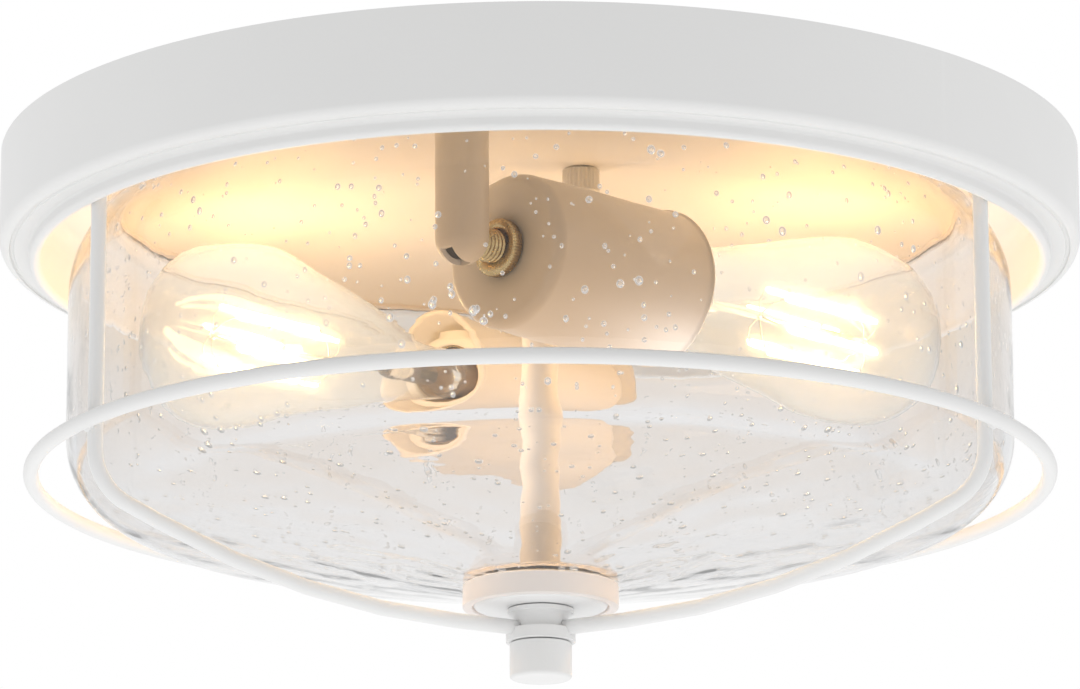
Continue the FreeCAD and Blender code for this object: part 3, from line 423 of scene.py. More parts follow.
def porcelain_finish(settings):
    """glazed porcelain with faint specks under the glaze"""
    finish = Finish("porcelain")
    speck = finish.ramp(finish.cells(1.6), (0.06, 1), (0.12, 0))
    body = tuple(settings.porcelain)
    base = finish.blend(speck * 0.25, body, (0.55, 0.48, 0.38))
    return finish.done(finish.principled(
        Base_Color=base, Roughness=0.3, Coat_Weight=0.8, Coat_Roughness=0.06,
        Normal=finish.bump(finish.noise(4), 0.03)))


def silicone_finish(settings):
    """clear silicone: milky, soft and slightly pink"""
    finish = Finish("clear_silicone")
    cloud = finish.noise(5)
    shader = finish.principled(Base_Color=tuple(settings.silicone), Roughness=0.28 + cloud * 0.12,
                               IOR=1.41, Transmission_Weight=0.3)
    return finish.done(finish.lets_light_by(shader, (0.8, 0.75, 0.73)))


def earth_finish(settings):
    """green lacquer on steel"""
    finish = Finish("earth_green")
    wear = finish.ramp(finish.noise(1.4, detail=3), (0.62, 0), (0.70, 1))
    base = finish.blend(wear, tuple(settings.earth), (0.55, 0.55, 0.5))
    return finish.done(finish.principled(Base_Color=base, Metallic=0.6, Roughness=0.3 + wear * 0.2))


def seeded_finish(settings):
    """clear blown glass, uneven on both faces"""
    finish = Finish("seeded_glass")
    ripple = finish.noise(11, detail=2, stretch=(1, 1, 0.7))
    shader = finish.principled(
        Base_Color=finish.edged(settings.tint, settings.edge), Roughness=0.0, IOR=1.5,
        Transmission_Weight=1.0, Normal=finish.bump(ripple, 0.03))
    return finish.done(finish.lets_light_by(shader, (0.97, 0.97, 0.965)))


def seed_finish(settings):
    """the air in a bubble, seen from the glass round it, with a painted white highlight on its rims
    """
    finish = Finish("seed_air")
    bent = finish.node("ShaderNodeBsdfGlass",
                       {"Color": tuple(settings.tint), "Roughness": 0.0, "IOR": 1 / 1.5})
    straight = finish.node("ShaderNodeBsdfTransparent")
    both = finish.mix(settings.seed_strength, straight, bent)
    # Painted highlight: a white emission mixed onto each bubble's rim, strongest where the rim is
    # seen edge on.
    painted_glint = finish.node("ShaderNodeEmission", {"Color": (1.0, 0.99, 0.97), "Strength": 1.0})
    lit = finish.mix(finish.facing() * settings.seed_painted_glint, both, painted_glint)
    return finish.done(finish.lets_light_by(lit))


def bulb_finish(settings):
    """clear bulb glass with a painted warm glow round the strips, and a thin haze that spreads
    their light
    """
    finish = Finish("bulb_glass")
    tint = finish.edged(settings.bulb, settings.edge)
    near = 1.0
    for holder in HOLDERS:
        middle = tuple(holder.at(PAINTED_GLOW_PLACE) * MM)
        gap = finish.vector("DISTANCE", {0: finish.place, 1: middle})
        near = finish.maths("MINIMUM", near, gap)
    # Painted glow: the bulb glass itself gives off warm light near the strips, fading out with
    # distance from them.
    painted_glow = finish.ramp(near / PAINTED_GLOW_REACH, (0.26, 1), (0.36, 0.4), (0.52, 0))
    lit = finish.blend(painted_glow, (0, 0, 0), tuple(settings.painted_glow_colour))
    glass = dict(Base_Color=tint, IOR=1.48, Transmission_Weight=1.0, Emission_Color=lit,
                 Emission_Strength=settings.painted_glow)
    clear = finish.principled(Roughness=0.0, **glass)
    hazed = finish.principled(Roughness=settings.spread, **glass)
    cloud = finish.noise(14)
    both = finish.mix(settings.haze * 0.8 + cloud * (settings.haze * 0.4), clear, hazed)
    return finish.done(finish.lets_light_by(both, (0.98, 0.97, 0.94)))


def mount_finish(settings):
    """the glass stem inside a bulb"""
    finish = Finish("mount_glass")
    streak = finish.noise(2, stretch=(1, 1, 0.3))
    shader = finish.principled(Base_Color=tuple(settings.bulb), Roughness=0.02, IOR=1.5,
                               Transmission_Weight=1.0, Normal=finish.bump(streak, 0.1))
    return finish.done(finish.lets_light_by(shader, (0.95, 0.94, 0.9)))


def glow_finish(settings):
    """a grainy glowing strip; matt surfaces get less of it, as the lamp in the bulb lights them"""
    finish = Finish("glowing_strip")
    grain = finish.noise(0.8)
    glow = finish.blend(grain, tuple(settings.strip), dimmed(settings.strip, 0.75))
    camera, glossy, transmitted = finish.paths(
        "Is Camera Ray", "Is Glossy Ray", "Is Transmission Ray")
    seen = finish.maths("MAXIMUM", camera, finish.maths("MAXIMUM", glossy, transmitted))
    glow = finish.blend(seen, dimmed(settings.strip, settings.thrown), glow)
    return finish.done(finish.principled(
        Base_Color=(0.9, 0.7, 0.3), Roughness=0.6, Emission_Color=glow,
        Emission_Strength=settings.strength))


def collar_finish(settings):
    """black glass between a bulb's base and its contact"""
    finish = Finish("black_glass")
    scuff = finish.noise(1.5)
    base = finish.blend(scuff, (0.02, 0.02, 0.02), (0.05, 0.04, 0.035))
    return finish.done(finish.principled(Base_Color=base, Roughness=0.12 + scuff * 0.2))


FINISHES = {
    "white_paint": (paint_finish, "light_paint"),
    "zinc_steel": (zinc_finish, "light_paint"),
    "brass": (brass_finish, "light_paint"),
    "base_metal": (contact_finish, "light_paint"),
    "porcelain": (porcelain_finish, "light_paint"),
    "clear_silicone": (silicone_finish, "light_paint"),
    "earth_green": (earth_finish, "light_paint"),
    "seeded_glass": (seeded_finish, "light_shade"),
    "seed_air": (seed_finish, "light_shade"),
    "bulb_glass": (bulb_finish, "light_glow"),
    "mount_glass": (mount_finish, "light_glow"),
    "glowing_strip": (glow_finish, "light_glow"),
    "black_glass": (collar_finish, "light_paint"),
}
MADE = {}


def finish(name):
    """a finish by its name, made when it is first asked for"""
    if name not in MADE:
        make, group = FINISHES[name]
        MADE[name] = make(getattr(bpy.context.scene, group))
    return MADE[name]


# Shapes as arrays. A grid has rows along a profile and columns round or across it.

def trace(corners):
    """points along an outline

    A corner (r, z, radius, way) ends an arc that turns left for 1 and right for -1.
    """
    points = []
    for index, corner in enumerate(corners):
        end = np.array(corner[:2], float)
        if len(corner) == 2:
            points.append(end[None])
            continue
        start = np.array(corners[index - 1][:2], float)
        radius, way = corner[2:]
        chord = end - start
        half = math.hypot(*chord) / 2
        left = np.array((-chord[1], chord[0])) / (half * 2)
        centre = (start + end) / 2 + left * way * math.sqrt(max(radius ** 2 - half ** 2, 0))
        first = math.atan2(start[1] - centre[1], start[0] - centre[0])
        sweep = 2 * math.asin(min(half / radius, 1)) * way
        steps = max(2, math.ceil(abs(sweep) / ARC_STEP))
        angle = first + sweep * np.arange(1, steps + 1) / steps
        points.append(centre + radius * np.column_stack((np.cos(angle), np.sin(angle))))
    return np.concatenate(points)


def divided(points, longest, closed=True):
    """the outline with extra points, so that no span is longer than this"""
    after = np.roll(points, -1, axis=0) if closed else points[1:]
    before = points if closed else points[:-1]
    spans = []
    for first, last in zip(before, after):
        steps = max(1, math.ceil(math.dist(first, last) / longest))
        spans.append(first + (last - first) * np.arange(steps)[:, None] / steps)
    if not closed:
        spans.append(points[-1:])
    return np.concatenate(spans)


def circle(segments):
    """the angles of equal steps round a circle"""
    return np.linspace(0, 2 * math.pi, segments, endpoint=False)


def swept(radius, angle, height):
    """grid points: x is the radius times the cosine of the angle, y is the radius times its sine"""
    x, y = radius * np.cos(angle), radius * np.sin(angle)
    return np.stack((x, y, np.broadcast_to(height, x.shape)), axis=-1)


def turned(outline, segments):
    """each outline point (r, z) carried round the Z axis"""
    return swept(outline[:, 0, None], circle(segments), outline[:, 1, None])


def outwards(angle):
    """the level direction at this angle, and the one a quarter turn on"""
    cosine, sine = math.cos(angle), math.sin(angle)
    return np.array((cosine, sine, 0)), np.array((-sine, cosine, 0))


def stood(path, out):
    """a flat path (r, z) stood up in the plane of this level direction"""
    return path[:, :1] * out + path[:, 1:] * UP


def piped(path, radius, sides):
    """a round wire: at each path point a circle of this radius across the path; the ends close"""
    ahead = np.gradient(path, axis=0)
    ahead /= np.linalg.norm(ahead, axis=1, keepdims=True)
    span = path[-1] - path[0]
    across = np.cross(span, path[len(path) // 2] - path[0])
    if np.linalg.norm(across) < 1e-6:
        across = np.cross(span, (0.3, 0.5, 0.8))
    across = np.broadcast_to(across / np.linalg.norm(across), path.shape)
    third = np.cross(ahead, across)
    angle = circle(sides)[:, None]
    circles = np.cos(angle) * across[:, None] + np.sin(angle) * third[:, None]
    rings = path[:, None] + radius * circles
    first = np.broadcast_to(path[:1, None], rings[:1].shape)
    last = np.broadcast_to(path[-1:, None], rings[:1].shape)
    return np.concatenate((first, rings, last))


def faces_of(rows, columns, wrap_rows, offset=0):
    """the quads of a grid whose columns close into rings, and whose rows close too if asked"""
    row = np.arange(rows if wrap_rows else rows - 1)[:, None]
    column = np.arange(columns)[None]
    after, beside = (row + 1) % rows, (column + 1) % columns
    quads = np.stack((row * columns + column, row * columns + beside,
                      after * columns + beside, after * columns + column), axis=-1)
    return quads.reshape(-1, 4) + offset


class Solid:
    """gathers grids into one closed mesh"""

    def __init__(self):
        self.points = []
        self.quads = []
        self.total = 0

    def add(self, grid, wrap_rows=False):
        rows, columns = grid.shape[:2]
        self.points.append(grid.reshape(-1, 3))
        self.quads.append(faces_of(rows, columns, wrap_rows, self.total))
        self.total += rows * columns
        return self

    def piece(self, name, body, slot, surface=None, nodes=(), bevel=0, move=None):
        """makes the mesh, closes poles, turns faces outwards, and hands the piece to its body"""
        points = np.concatenate(self.points)
        quads = np.concatenate(self.quads)
        if move is not None:
            points = move(points)
        points, link = weld(points)
        quads = link[quads]
        doubled = quads == np.roll(quads, -1, axis=1)
        whole = quads[~doubled.any(axis=1)]
        pinched = quads[doubled.sum(axis=1) == 1]
        keep = ~doubled[doubled.sum(axis=1) == 1]
        triangles = pinched[keep].reshape(-1, 3)
        mesh = bpy.data.meshes.new(name)
        mesh.from_pydata((points * MM).tolist(), [], whole.tolist() + triangles.tolist())
        face_out(mesh)
        mesh.shade_smooth()
        made = bpy.data.objects.new(name, mesh)
        bpy.context.scene.collection.objects.link(made)
        mesh.materials.append(finish(surface or slot))
        if bevel:
            edge = made.modifiers.new("edges", "BEVEL")
            edge.width = bevel * MM
            edge.segments = 2
            edge.limit_method = "ANGLE"
            edge.angle_limit = BEVEL_ANGLE
            edge.harden_normals = True
            edge.use_clamp_overlap = True
        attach(made, body)
        if nodes:
            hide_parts(*nodes)
        return made


def lathe(outline, segments, name, body, slot, node=None, wrap_rows=True, **more):
    """a piece turned from an outline, in place of a node if one is named"""
    made = Solid().add(turned(outline, segments), wrap_rows)
    made.piece(name, body, slot, nodes=[node] if node else (), **more)


def weld(points):
    """points that lie together become one; gives the points and where each old one went"""
    keys = np.round(points * WELD_GRID).astype(np.int64)
    _, first, link = np.unique(keys, axis=0, return_index=True, return_inverse=True)
    return points[first], link.ravel()


def face_out(mesh):
    """turns a closed mesh inside out where its signed volume is negative"""
    count = len(mesh.vertices)
    place = np.empty(count * 3)
    mesh.vertices.foreach_get("co", place)
    place = place.reshape(-1, 3)
    mesh.calc_loop_triangles()
    corners = np.empty(len(mesh.loop_triangles) * 3, np.int64)
    mesh.loop_triangles.foreach_get("vertices", corners)
    a, b, c = (place[corners.reshape(-1, 3)[:, side]] for side in range(3))
    if (a * np.cross(b, c)).sum() < 0:
        mesh.flip_normals()


def mm(group, *names):
    """the named lengths of a settings group, in millimetres"""
    values = [getattr(group, name) / MM for name in names]
    return values if len(values) > 1 else values[0]


# Places that several pieces share, in millimetres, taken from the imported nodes.

def node_middle(name):
    """the middle of a node in plan"""
    low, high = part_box(name)
    return np.array((low + high) / 2)[:2] / MM


def node_span(name):
    """lowest and highest point of a node along Z"""
    low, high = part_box(name)
    return low.z / MM, high.z / MM


class Holder:
    """one lamp holder: where its axis starts and which way it points"""

    def __init__(self, side, way):
        self.side = side
        self.along, self.across = outwards(math.radians(45 if way > 0 else 225))
        self.start = np.array((-10.2 * way, -100 * way, -54))

    def at(self, distance):
        """the point this far along the axis"""
        return self.start + self.along * distance

    def lay(self, points):
        """a piece made along Z laid on the axis: z runs out along it and x points down"""
        x, y, z = points[:, 0, None], points[:, 1, None], points[:, 2, None]
        return self.start - x * UP + y * self.across + z * self.along


HOLDERS = [Holder(side, way) for side, way in SIDES]


def shifted(x, y):
    """moves a piece made about the Z axis to its own axis"""
    return lambda points: points + np.array((x, y, 0))


def thread(radius, depth, pitch, low, high, segments, bore=0):
    """a threaded rod or tube, and whether it is a tube

    The radius falls by a wave of the height over the pitch, less the turn round the rod.
    """
    rows = np.linspace(low, high, max(3, math.ceil((high - low) / pitch * 8)))
    angle = circle(segments)
    phase = (rows[:, None] / pitch - angle[None] / (2 * math.pi)) % 1
    wave = 1 - np.abs(phase * 2 - 1)
    fade = np.clip(np.minimum(rows - low, high - rows)[:, None] / pitch, 0, 1)
    side = swept(radius - depth * (1 - wave * fade), angle, rows[:, None])
    ends = turned(np.array(((bore, low), (bore, high))), segments)
    return np.concatenate((ends[:1], side, ends[1:])), bool(bore)


def screw_wall(radius, lift, rows, low, high):
    """a wall with the rounded thread of a medium screw base between two heights

    The radius changes by a cosine of the height over the pitch, less the turn round the axis.
    """
    angle, rows = circle(SCREW_SEGMENTS), rows[:, None]
    turns = rows / SCREW_PITCH - angle[None] / (2 * math.pi)
    wave = (1 - np.cos(turns * 2 * math.pi)) / 2
    fade = np.clip(np.minimum(rows - low, high - rows) / 2, 0, 1)
    return swept(radius + lift * wave * fade, angle, rows)


def knurled(outline, ribs, depth, beyond):
    """a turned outline that dips between ribs, by a cosine, where it is wider than this"""
    segments = ribs * 8
    grid = turned(outline, segments)
    dip = depth * (1 - np.abs(np.cos(circle(segments) * ribs / 2)))
    held = (outline[:, 0] > beyond).astype(float)[:, None]
    r = np.linalg.norm(grid[..., :2], axis=-1)
    factor = np.where(r > 0, (r - dip * held) / np.maximum(r, 1e-9), 1)
    grid[..., :2] *= factor[..., None]
    return grid


def hexagon(flats, bore, low, high, chamfer=0.35):
    """a nut with chamfered corners

    The radius is half the flats over the cosine of the angle from the nearest flat, and less
    near both ends.
    """
    steps = 72
    corner_rise = 0.0825 * flats
    angle = circle(steps)
    from_flat = (angle + math.pi / 6) % (math.pi / 3) - math.pi / 6
    across = flats / 2 / np.cos(from_flat)
    heights = np.array((low, low + chamfer, low + chamfer * 2,
                        high - chamfer * 2, high - chamfer, high))
    depth = np.minimum(heights - low, high - heights)[:, None]
    r = np.minimum(across[None], flats / 2 + corner_rise * depth / (chamfer * 2))
    r[2:4] = across
    inner = turned(np.array(((bore, high), (bore, low))), steps)
    return np.concatenate((swept(r, angle, heights[:, None]), inner))


def nut(name, node, span, move=None):
    """a zinc plated nut between two heights"""
    made = Solid().add(hexagon(NUT_FLATS, NUT_BORE, *span), True)
    made.piece(name, "pan", "zinc_steel", nodes=[node], move=move)


def nipple(name, node, span, move):
    """a threaded brass tube between two heights"""
    grid, hollow = thread(4.88, 0.4, NIPPLE_PITCH, *span, segments=40, bore=3.3)
    Solid().add(grid, hollow).piece(name, "pan", "brass", nodes=[node], move=move)


# Operators, one for each piece or group of like pieces.

class LIGHT_OT_finishes(Operator):
    """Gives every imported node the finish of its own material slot"""
    bl_idname = "light.finishes"
    bl_label = "Finish the packed nodes"

    def execute(self, context):
        MADE.clear()
        slots = {part["node"]: part["material_slot"] for part in frame["record"]["subparts"]}
        for name, thing in frame["nodes"].items():
            thing.data.materials.clear()
            thing.data.materials.append(finish(slots[name]))
        return {"FINISHED"}


class LIGHT_OT_pan(Operator):
    """Makes the pan: one sheet turned round the middle, with groove, collar and recessed plate"""
    bl_idname = "light.pan"
    bl_label = "Pan"

    def execute(self, context):
        pan = context.scene.light_pan
        radius, depth, sheet, corner = mm(pan, "radius", "depth", "sheet", "corner")
        groove, width, dip = mm(pan, "groove", "groove_width", "groove_depth")
        outer, inner, lowest = mm(pan, "collar_outer", "collar_inner", "collar_depth")
        plate, bend = mm(pan, "plate_depth", "plate_corner")
        bead = (outer - inner) / 2
        crease = 0.9
        outline = trace([
            (radius, 0),
            (radius, corner - depth),
            (radius - corner, -depth, corner, -1),
            (groove + width, -depth),
            (groove + width / 2, dip - depth),
            (groove - width / 2, dip - depth),
            (groove - width, -depth),
            (outer + crease, -depth),
            (outer, -depth - crease, crease, 1),
            (outer, bead - lowest),
            (outer - bead, -lowest, bead, -1),
            (inner, bead - lowest, bead, -1),
            (inner, -(plate + bend)),
            (inner - bend, -plate, bend, 1),
            (ROD_HOLE, -plate),
            (ROD_HOLE, sheet - plate),
            (inner - bend, sheet - plate),
            (inner + sheet, -(plate + bend), bend + sheet, -1),
            (inner + sheet, sheet - depth),
            (radius - corner, sheet - depth),
            (radius - sheet, corner - depth, corner - sheet, 1),
            (radius - sheet, 0),
        ])
        lathe(outline, 360, "pan_sheet", "pan", "white_paint", "ceiling_pan", bevel=0.22)
        return {"FINISHED"}


def shade_outline(shade):
    """outer then inner face of the glass, from rim to hole and back"""
    radius, wall, neck, rim = mm(shade, "radius", "wall", "neck", "rim")
    shoulder, fillet, high = mm(shade, "shoulder", "fillet", "shoulder_depth")
    low, corner, flat, hole = mm(shade, "corner_depth", "corner", "flat", "hole")
    slope = shade.slope
    centre = radius - shoulder
    spread = neck + fillet - centre
    reach = shoulder + fillet
    rise = math.sqrt(reach ** 2 - spread ** 2)
    corner_x = radius - corner
    turn_x = corner_x + corner * math.sin(slope)
    floor = low + corner * math.cos(slope) + (turn_x - flat) * math.tan(slope)
    inner = corner - wall
    inner_flat = flat - wall * math.tan(slope / 2)

    def tangent(size):
        return centre + spread * size / reach, rise * size / reach - high

    outside = [
        (neck, -rim),
        (neck, rise - high),
        (*tangent(shoulder), fillet, 1),
        (radius, -high, shoulder, -1),
        (radius, -low),
        (turn_x, -(low + corner * math.cos(slope)), corner, -1),
        (flat, -floor),
        (hole, -floor),
    ]
    inside = [
        (hole, wall - floor),
        (inner_flat, wall - floor),
        (corner_x + inner * math.sin(slope), -(low + inner * math.cos(slope))),
        (radius - wall, -low, inner, 1),
        (radius - wall, -high),
        (*tangent(shoulder - wall), shoulder - wall, 1),
        (neck - wall, rise - high, fillet + wall, -1),
        (neck - wall, -rim),
    ]
    return outside, inside


def ripple(angle, along, chance):
    """unevenness of blown glass: a sum of sines in the turn and the distance along the wall"""
    waves = 14
    total = 0
    for _ in range(waves):
        turns = chance.integers(2, 26)
        size = chance.uniform(18, 60)
        shift = chance.uniform(0, 2 * math.pi, 2)
        round_wave = np.sin(angle * turns + shift[0])
        total = total + round_wave * np.sin(along * 2 * math.pi / size + shift[1])
    return total / waves ** 0.5


class LIGHT_OT_shade(Operator):
    """Makes the glass: an outline with a wall, turned, with slow waves pushed into both faces"""
    bl_idname = "light.shade"
    bl_label = "Glass shade"

    def execute(self, context):
        shade = context.scene.light_shade
        outside, inside = shade_outline(shade)
        outline = divided(trace(outside + inside), 2.6)
        segments = 288
        angle = circle(segments)
        grid = turned(outline, segments)
        ahead = np.roll(outline, -1, axis=0) - np.roll(outline, 1, axis=0)
        ahead /= np.maximum(np.linalg.norm(ahead, axis=1, keepdims=True), 1e-9)
        steps = np.diff(outline, axis=0, prepend=outline[:1])
        along = np.cumsum(np.linalg.norm(steps, axis=1))
        still, fade = 4, 20
        from_hole = outline[:, 0] - mm(shade, "hole") - still
        from_rim = -outline[:, 1] - 16
        quiet = np.clip(from_hole / fade, 0, 1) * np.clip(from_rim / fade, 0, 1)
        waves = ripple(angle[None], along[:, None], np.random.default_rng(WAVE_CHANCE))
        push = waves * quiet[:, None] * mm(shade, "wave")
        grid[..., 0] += push * ahead[:, 1:] * np.cos(angle)
        grid[..., 1] += push * ahead[:, 1:] * np.sin(angle)
        grid[..., 2] -= push * ahead[:, :1]
        made = Solid().add(grid, wrap_rows=True)
        made.piece("shade_glass", "glass", "seeded_glass", nodes=["glass_shade"])
        return {"FINISHED"}


def small_balls(centres, sizes, frames, columns, rows):
    """many ellipsoids as grids: rows from pole to pole, columns round

    Each has three sizes in its own frame.
    """
    polar = np.linspace(0, math.pi, rows + 1)[:, None]
    unit = swept(np.sin(polar), circle(columns), np.cos(polar))
    local = unit[None] * sizes[:, None, None]
    return centres[:, None, None] + np.einsum("nrca,nab->nrcb", local, frames)


class LIGHT_OT_seeds(Operator):
    """Makes the air bubbles: small ellipsoids in the middle of the wall, even over its area"""
    bl_idname = "light.seeds"
    bl_label = "Seeds in the glass"

    def execute(self, context):
        shade = context.scene.light_shade
        outside, _ = shade_outline(shade)
        outline = divided(trace(outside), 1.0, closed=False)
        chance = np.random.default_rng(SEED_CHANCE)
        step = np.diff(outline, axis=0)
        size = np.linalg.norm(step, axis=1)
        area = size * outline[:-1, 0]
        total = shade.seeds
        span = chance.choice(len(area), total, p=area / area.sum())
        angle = chance.uniform(0, 2 * math.pi, total)
        ahead = step[span] / size[span, None]
        usual, smallest, largest = mm(shade, "seed_radius"), 0.24, 1.2
        radius = np.clip(usual * np.exp(chance.normal(0, 0.45, total)), smallest, largest)
        deep = chance.uniform(0.45, 0.55, total) * mm(shade, "wall")
        spot = outline[span] + step[span] * chance.uniform(0, 1, total)[:, None]
        spot += np.column_stack((ahead[:, 1], -ahead[:, 0])) * deep[:, None]
        flat = np.zeros(total)
        out = np.stack((np.cos(angle), np.sin(angle), flat), axis=-1)
        side = np.stack((-np.sin(angle), np.cos(angle), flat), axis=-1)
        down = stood(ahead, out)
        frames = np.stack((down, side, np.cross(down, side)), axis=1)
        long = chance.uniform(1.0, 1.35, total)
        sizes = np.stack((radius * long, radius, radius * 0.9), axis=-1)
        centres = stood(spot, out)
        big = radius > 0.5
        made = Solid()
        for chosen, columns, rows in ((big, 10, 7), (~big, 7, 4)):
            for ball in small_balls(centres[chosen], sizes[chosen], frames[chosen], columns, rows):
                made.add(ball)
        made.piece("shade_seeds", "glass", "seeded_glass", surface="seed_air")
        return {"FINISHED"}


class LIGHT_OT_cage(Operator):
    """Makes the cage: the ring, bent uprights as pipes along their paths, weld beads and the hub"""
    bl_idname = "light.cage"
    bl_label = "Cage"

    def execute(self, context):
        cage = context.scene.light_cage
        wire, ring, depth, upright = mm(cage, "wire", "ring_radius", "ring_depth", "upright_radius")
        angle = circle(24)
        section = np.column_stack((ring + wire * np.cos(angle), wire * np.sin(angle) - depth))
        lathe(section, 384, "cage_hoop", "cage", "white_paint", "cage_ring")
        path = self.upright_path(cage)
        size = mm(cage, "weld")
        bead = np.array(((size * 1.1, size * 1.5, size * 1.5),))
        wires, beads = Solid(), Solid()
        for number in range(cage.uprights):
            out, side = outwards(math.radians(90) + 2 * math.pi * number / cage.uprights)
            wires.add(piped(stood(path, out), wire, sides=20))
            centre = out * (upright + wire) - UP * depth
            frame_of_bead = np.stack((out, side, UP))[None]
            beads.add(small_balls(centre[None], bead, frame_of_bead, columns=20, rows=12)[0])
        wires.piece("cage_wires", "cage", "white_paint", nodes=["cage_uprights"])
        beads.piece("cage_welds", "cage", "white_paint")
        low, high = node_span("cage_hub")
        flange = trace([
            (ROD_HOLE, high),
            (9.8, high),
            (9.8, high - 1.5),
            (8.0, high - 3.3, 1.8, 1),
            (8.0, low + 3.6),
            (10.2, low + 3.6),
            (10.2, low),
            (ROD_HOLE, low),
        ])
        lathe(flange, 96, "cage_spool", "cage", "white_paint", "cage_hub", bevel=0.35)
        return {"FINISHED"}

    def upright_path(self, cage):
        """down, round the bend, along the slope and through the long sweep into the hub's waist"""
        upright, top, low = mm(cage, "upright_radius", "upright_top", "bend_depth")
        bend, run, sweep = mm(cage, "bend", "run", "sweep")
        lean, fall = math.sin(cage.slope), math.cos(cage.slope)
        bend_x, bend_z = upright - bend + bend * lean, -(low + bend * fall)
        run_x, run_z = bend_x - run * fall, bend_z - run * lean
        sweep_x, sweep_z = run_x - sweep * lean, run_z - sweep * (1 - fall)
        waist = 8.2
        return divided(trace([
            (upright, -top),
            (upright, -low),
            (bend_x, bend_z, bend, -1),
            (run_x, run_z),
            (sweep_x, sweep_z, sweep, -1),
            (waist, sweep_z),
        ]), 4, closed=False)


class LIGHT_OT_middle(Operator):
    """Makes the middle of the light: threaded rod, sleeve, foot, clear gasket, cap and knob"""
    bl_idname = "light.middle"
    bl_label = "Rod, sleeve, cap and knob"

    def execute(self, context):
        low, high = node_span("centre_rod")
        grid, hollow = thread(4.85, 0.45, NIPPLE_PITCH, low, high, segments=40)
        Solid().add(grid, hollow).piece("rod_thread", "pan", "zinc_steel", nodes=["centre_rod"])
        low, high = node_span("stem_sleeve")
        sleeve = trace([(5.05, high), (5.75, high), (5.75, low), (5.05, low)])
        lathe(sleeve, 96, "rod_sleeve", "pan", "white_paint", "stem_sleeve", bevel=0.12)
        low, high = node_span("stem_foot")
        foot = trace([
            (NIPPLE_HOLE, high),
            (6.6, high),
            (9.5, low + 1, 4.5, 1),
            (9.5, low),
            (NIPPLE_HOLE, low),
        ])
        lathe(foot, 96, "rod_foot", "pan", "white_paint", "stem_foot", bevel=0.2)
        low, high = node_span("cap_gasket")
        sheet = 1.2
        gasket = trace([
            (ROD_HOLE, high),
            (22.9, high),
            (22.9, low),
            (20.05, low),
            (20.05, high - sheet),
            (ROD_HOLE, high - sheet),
        ])
        lathe(gasket, 144, "clear_gasket", "cap", "clear_silicone", "cap_gasket", bevel=0.35)
        low, high = node_span("glass_cap")
        cap = trace([
            (ROD_HOLE, low + sheet),
            (18.0, low + sheet),
            (18.8, low + 2.0, 0.8, 1),
            (18.8, high),
            (20.0, high),
            (20.0, low + 2.0),
            (18.0, low, 2.0, -1),
            (ROD_HOLE, low),
        ])
        lathe(cap, 144, "white_cap", "cap", "white_paint", "glass_cap", bevel=0.25)
        low, high = node_span("finial_knob")
        knob = trace([
            (4.97, high),
            (9.1, high),
            (9.1, low + 1.1),
            (8.0, low, 1.1, -1),
            (0, low),
            (0, low + 2.9),
            (4.97, low + 2.9),
        ])
        lathe(knob, 120, "knob", "finial", "white_paint", "finial_knob", bevel=0.3)
        return {"FINISHED"}


class LIGHT_OT_knurling(Operator):
    """Makes the knurled nuts: turned outlines with ribs round their grip"""
    bl_idname = "light.knurling"
    bl_label = "Knurled nuts"

    def execute(self, context):
        ring = trace([
            (NIPPLE_HOLE, 0), (7.7, 0), (8.25, -0.5), (8.25, -3.1), (7.7, -3.6),
            (NIPPLE_HOLE, -3.6)])
        for holder in HOLDERS:
            side = holder.side
            node = f"{side}_thumb_nut"
            low, high = node_span(node)
            outline = trace([
                (2.11, high), (4.9, high), (5.5, high - 0.6), (5.5, low + 1.4), (4.6, low, 1.6, -1),
                (0, low), (0, low + 2.5), (2.11, low + 2.5)])
            grid = knurled(outline, ribs=26, depth=0.42, beyond=5.4)
            made = Solid().add(grid, wrap_rows=True)
            made.piece(f"{side}_knurled_nut", node, "white_paint", nodes=[node],
                       move=shifted(*node_middle(node)))
            grid = knurled(ring, ribs=56, depth=0.28, beyond=8.2)
            made = Solid().add(grid, wrap_rows=True)
            made.piece(f"{side}_knurled_ring", "pan", "brass", nodes=[f"{side}_lock_ring"],
                       move=holder.lay)
        return {"FINISHED"}


class LIGHT_OT_fasteners(Operator):
    """Makes nuts with chamfered corners, and threads on studs and nipples"""
    bl_idname = "light.fasteners"
    bl_label = "Nuts, studs and nipples"

    def execute(self, context):
        nut("rod_hex", "rod_nut", node_span("rod_nut"))
        low, high = node_span("pan_studs")
        neck = high - 1.5
        stud, _ = thread(2.03, 0.28, STUD_PITCH, low, neck, segments=24)
        head = turned(trace([
            (0, high), (2.6, high), (3.8, high - 0.9, 1.3, -1), (3.8, neck), (0, neck)]), 32)
        lock = hexagon(8.7, 2.05, *node_span("stud_lock_nuts"), chamfer=0.25)
        studs, locks = Solid(), Solid()
        for holder in HOLDERS:
            side = holder.side
            arm = shifted(*node_middle(f"{side}_arm_nut"))
            nut(f"{side}_arm_hex", f"{side}_arm_nut", node_span(f"{side}_arm_nut"), arm)
            nut(f"{side}_cup_hex", f"{side}_cup_nut", (1.2, 4.6), holder.lay)
            nipple(f"{side}_arm_tube", f"{side}_arm_nipple", node_span(f"{side}_arm_nipple"), arm)
            nipple(f"{side}_cross_tube", f"{side}_cross_nipple", (-11, 12), holder.lay)
            place = np.array((*node_middle(f"{side}_thumb_nut"), 0))
            studs.add(stud + place)
            studs.add(head + place)
            locks.add(lock + place, True)
        studs.piece("stud_threads", "pan", "zinc_steel", nodes=["pan_studs"])
        locks.piece("stud_hexes", "pan", "zinc_steel", nodes=["stud_lock_nuts"])
        return {"FINISHED"}


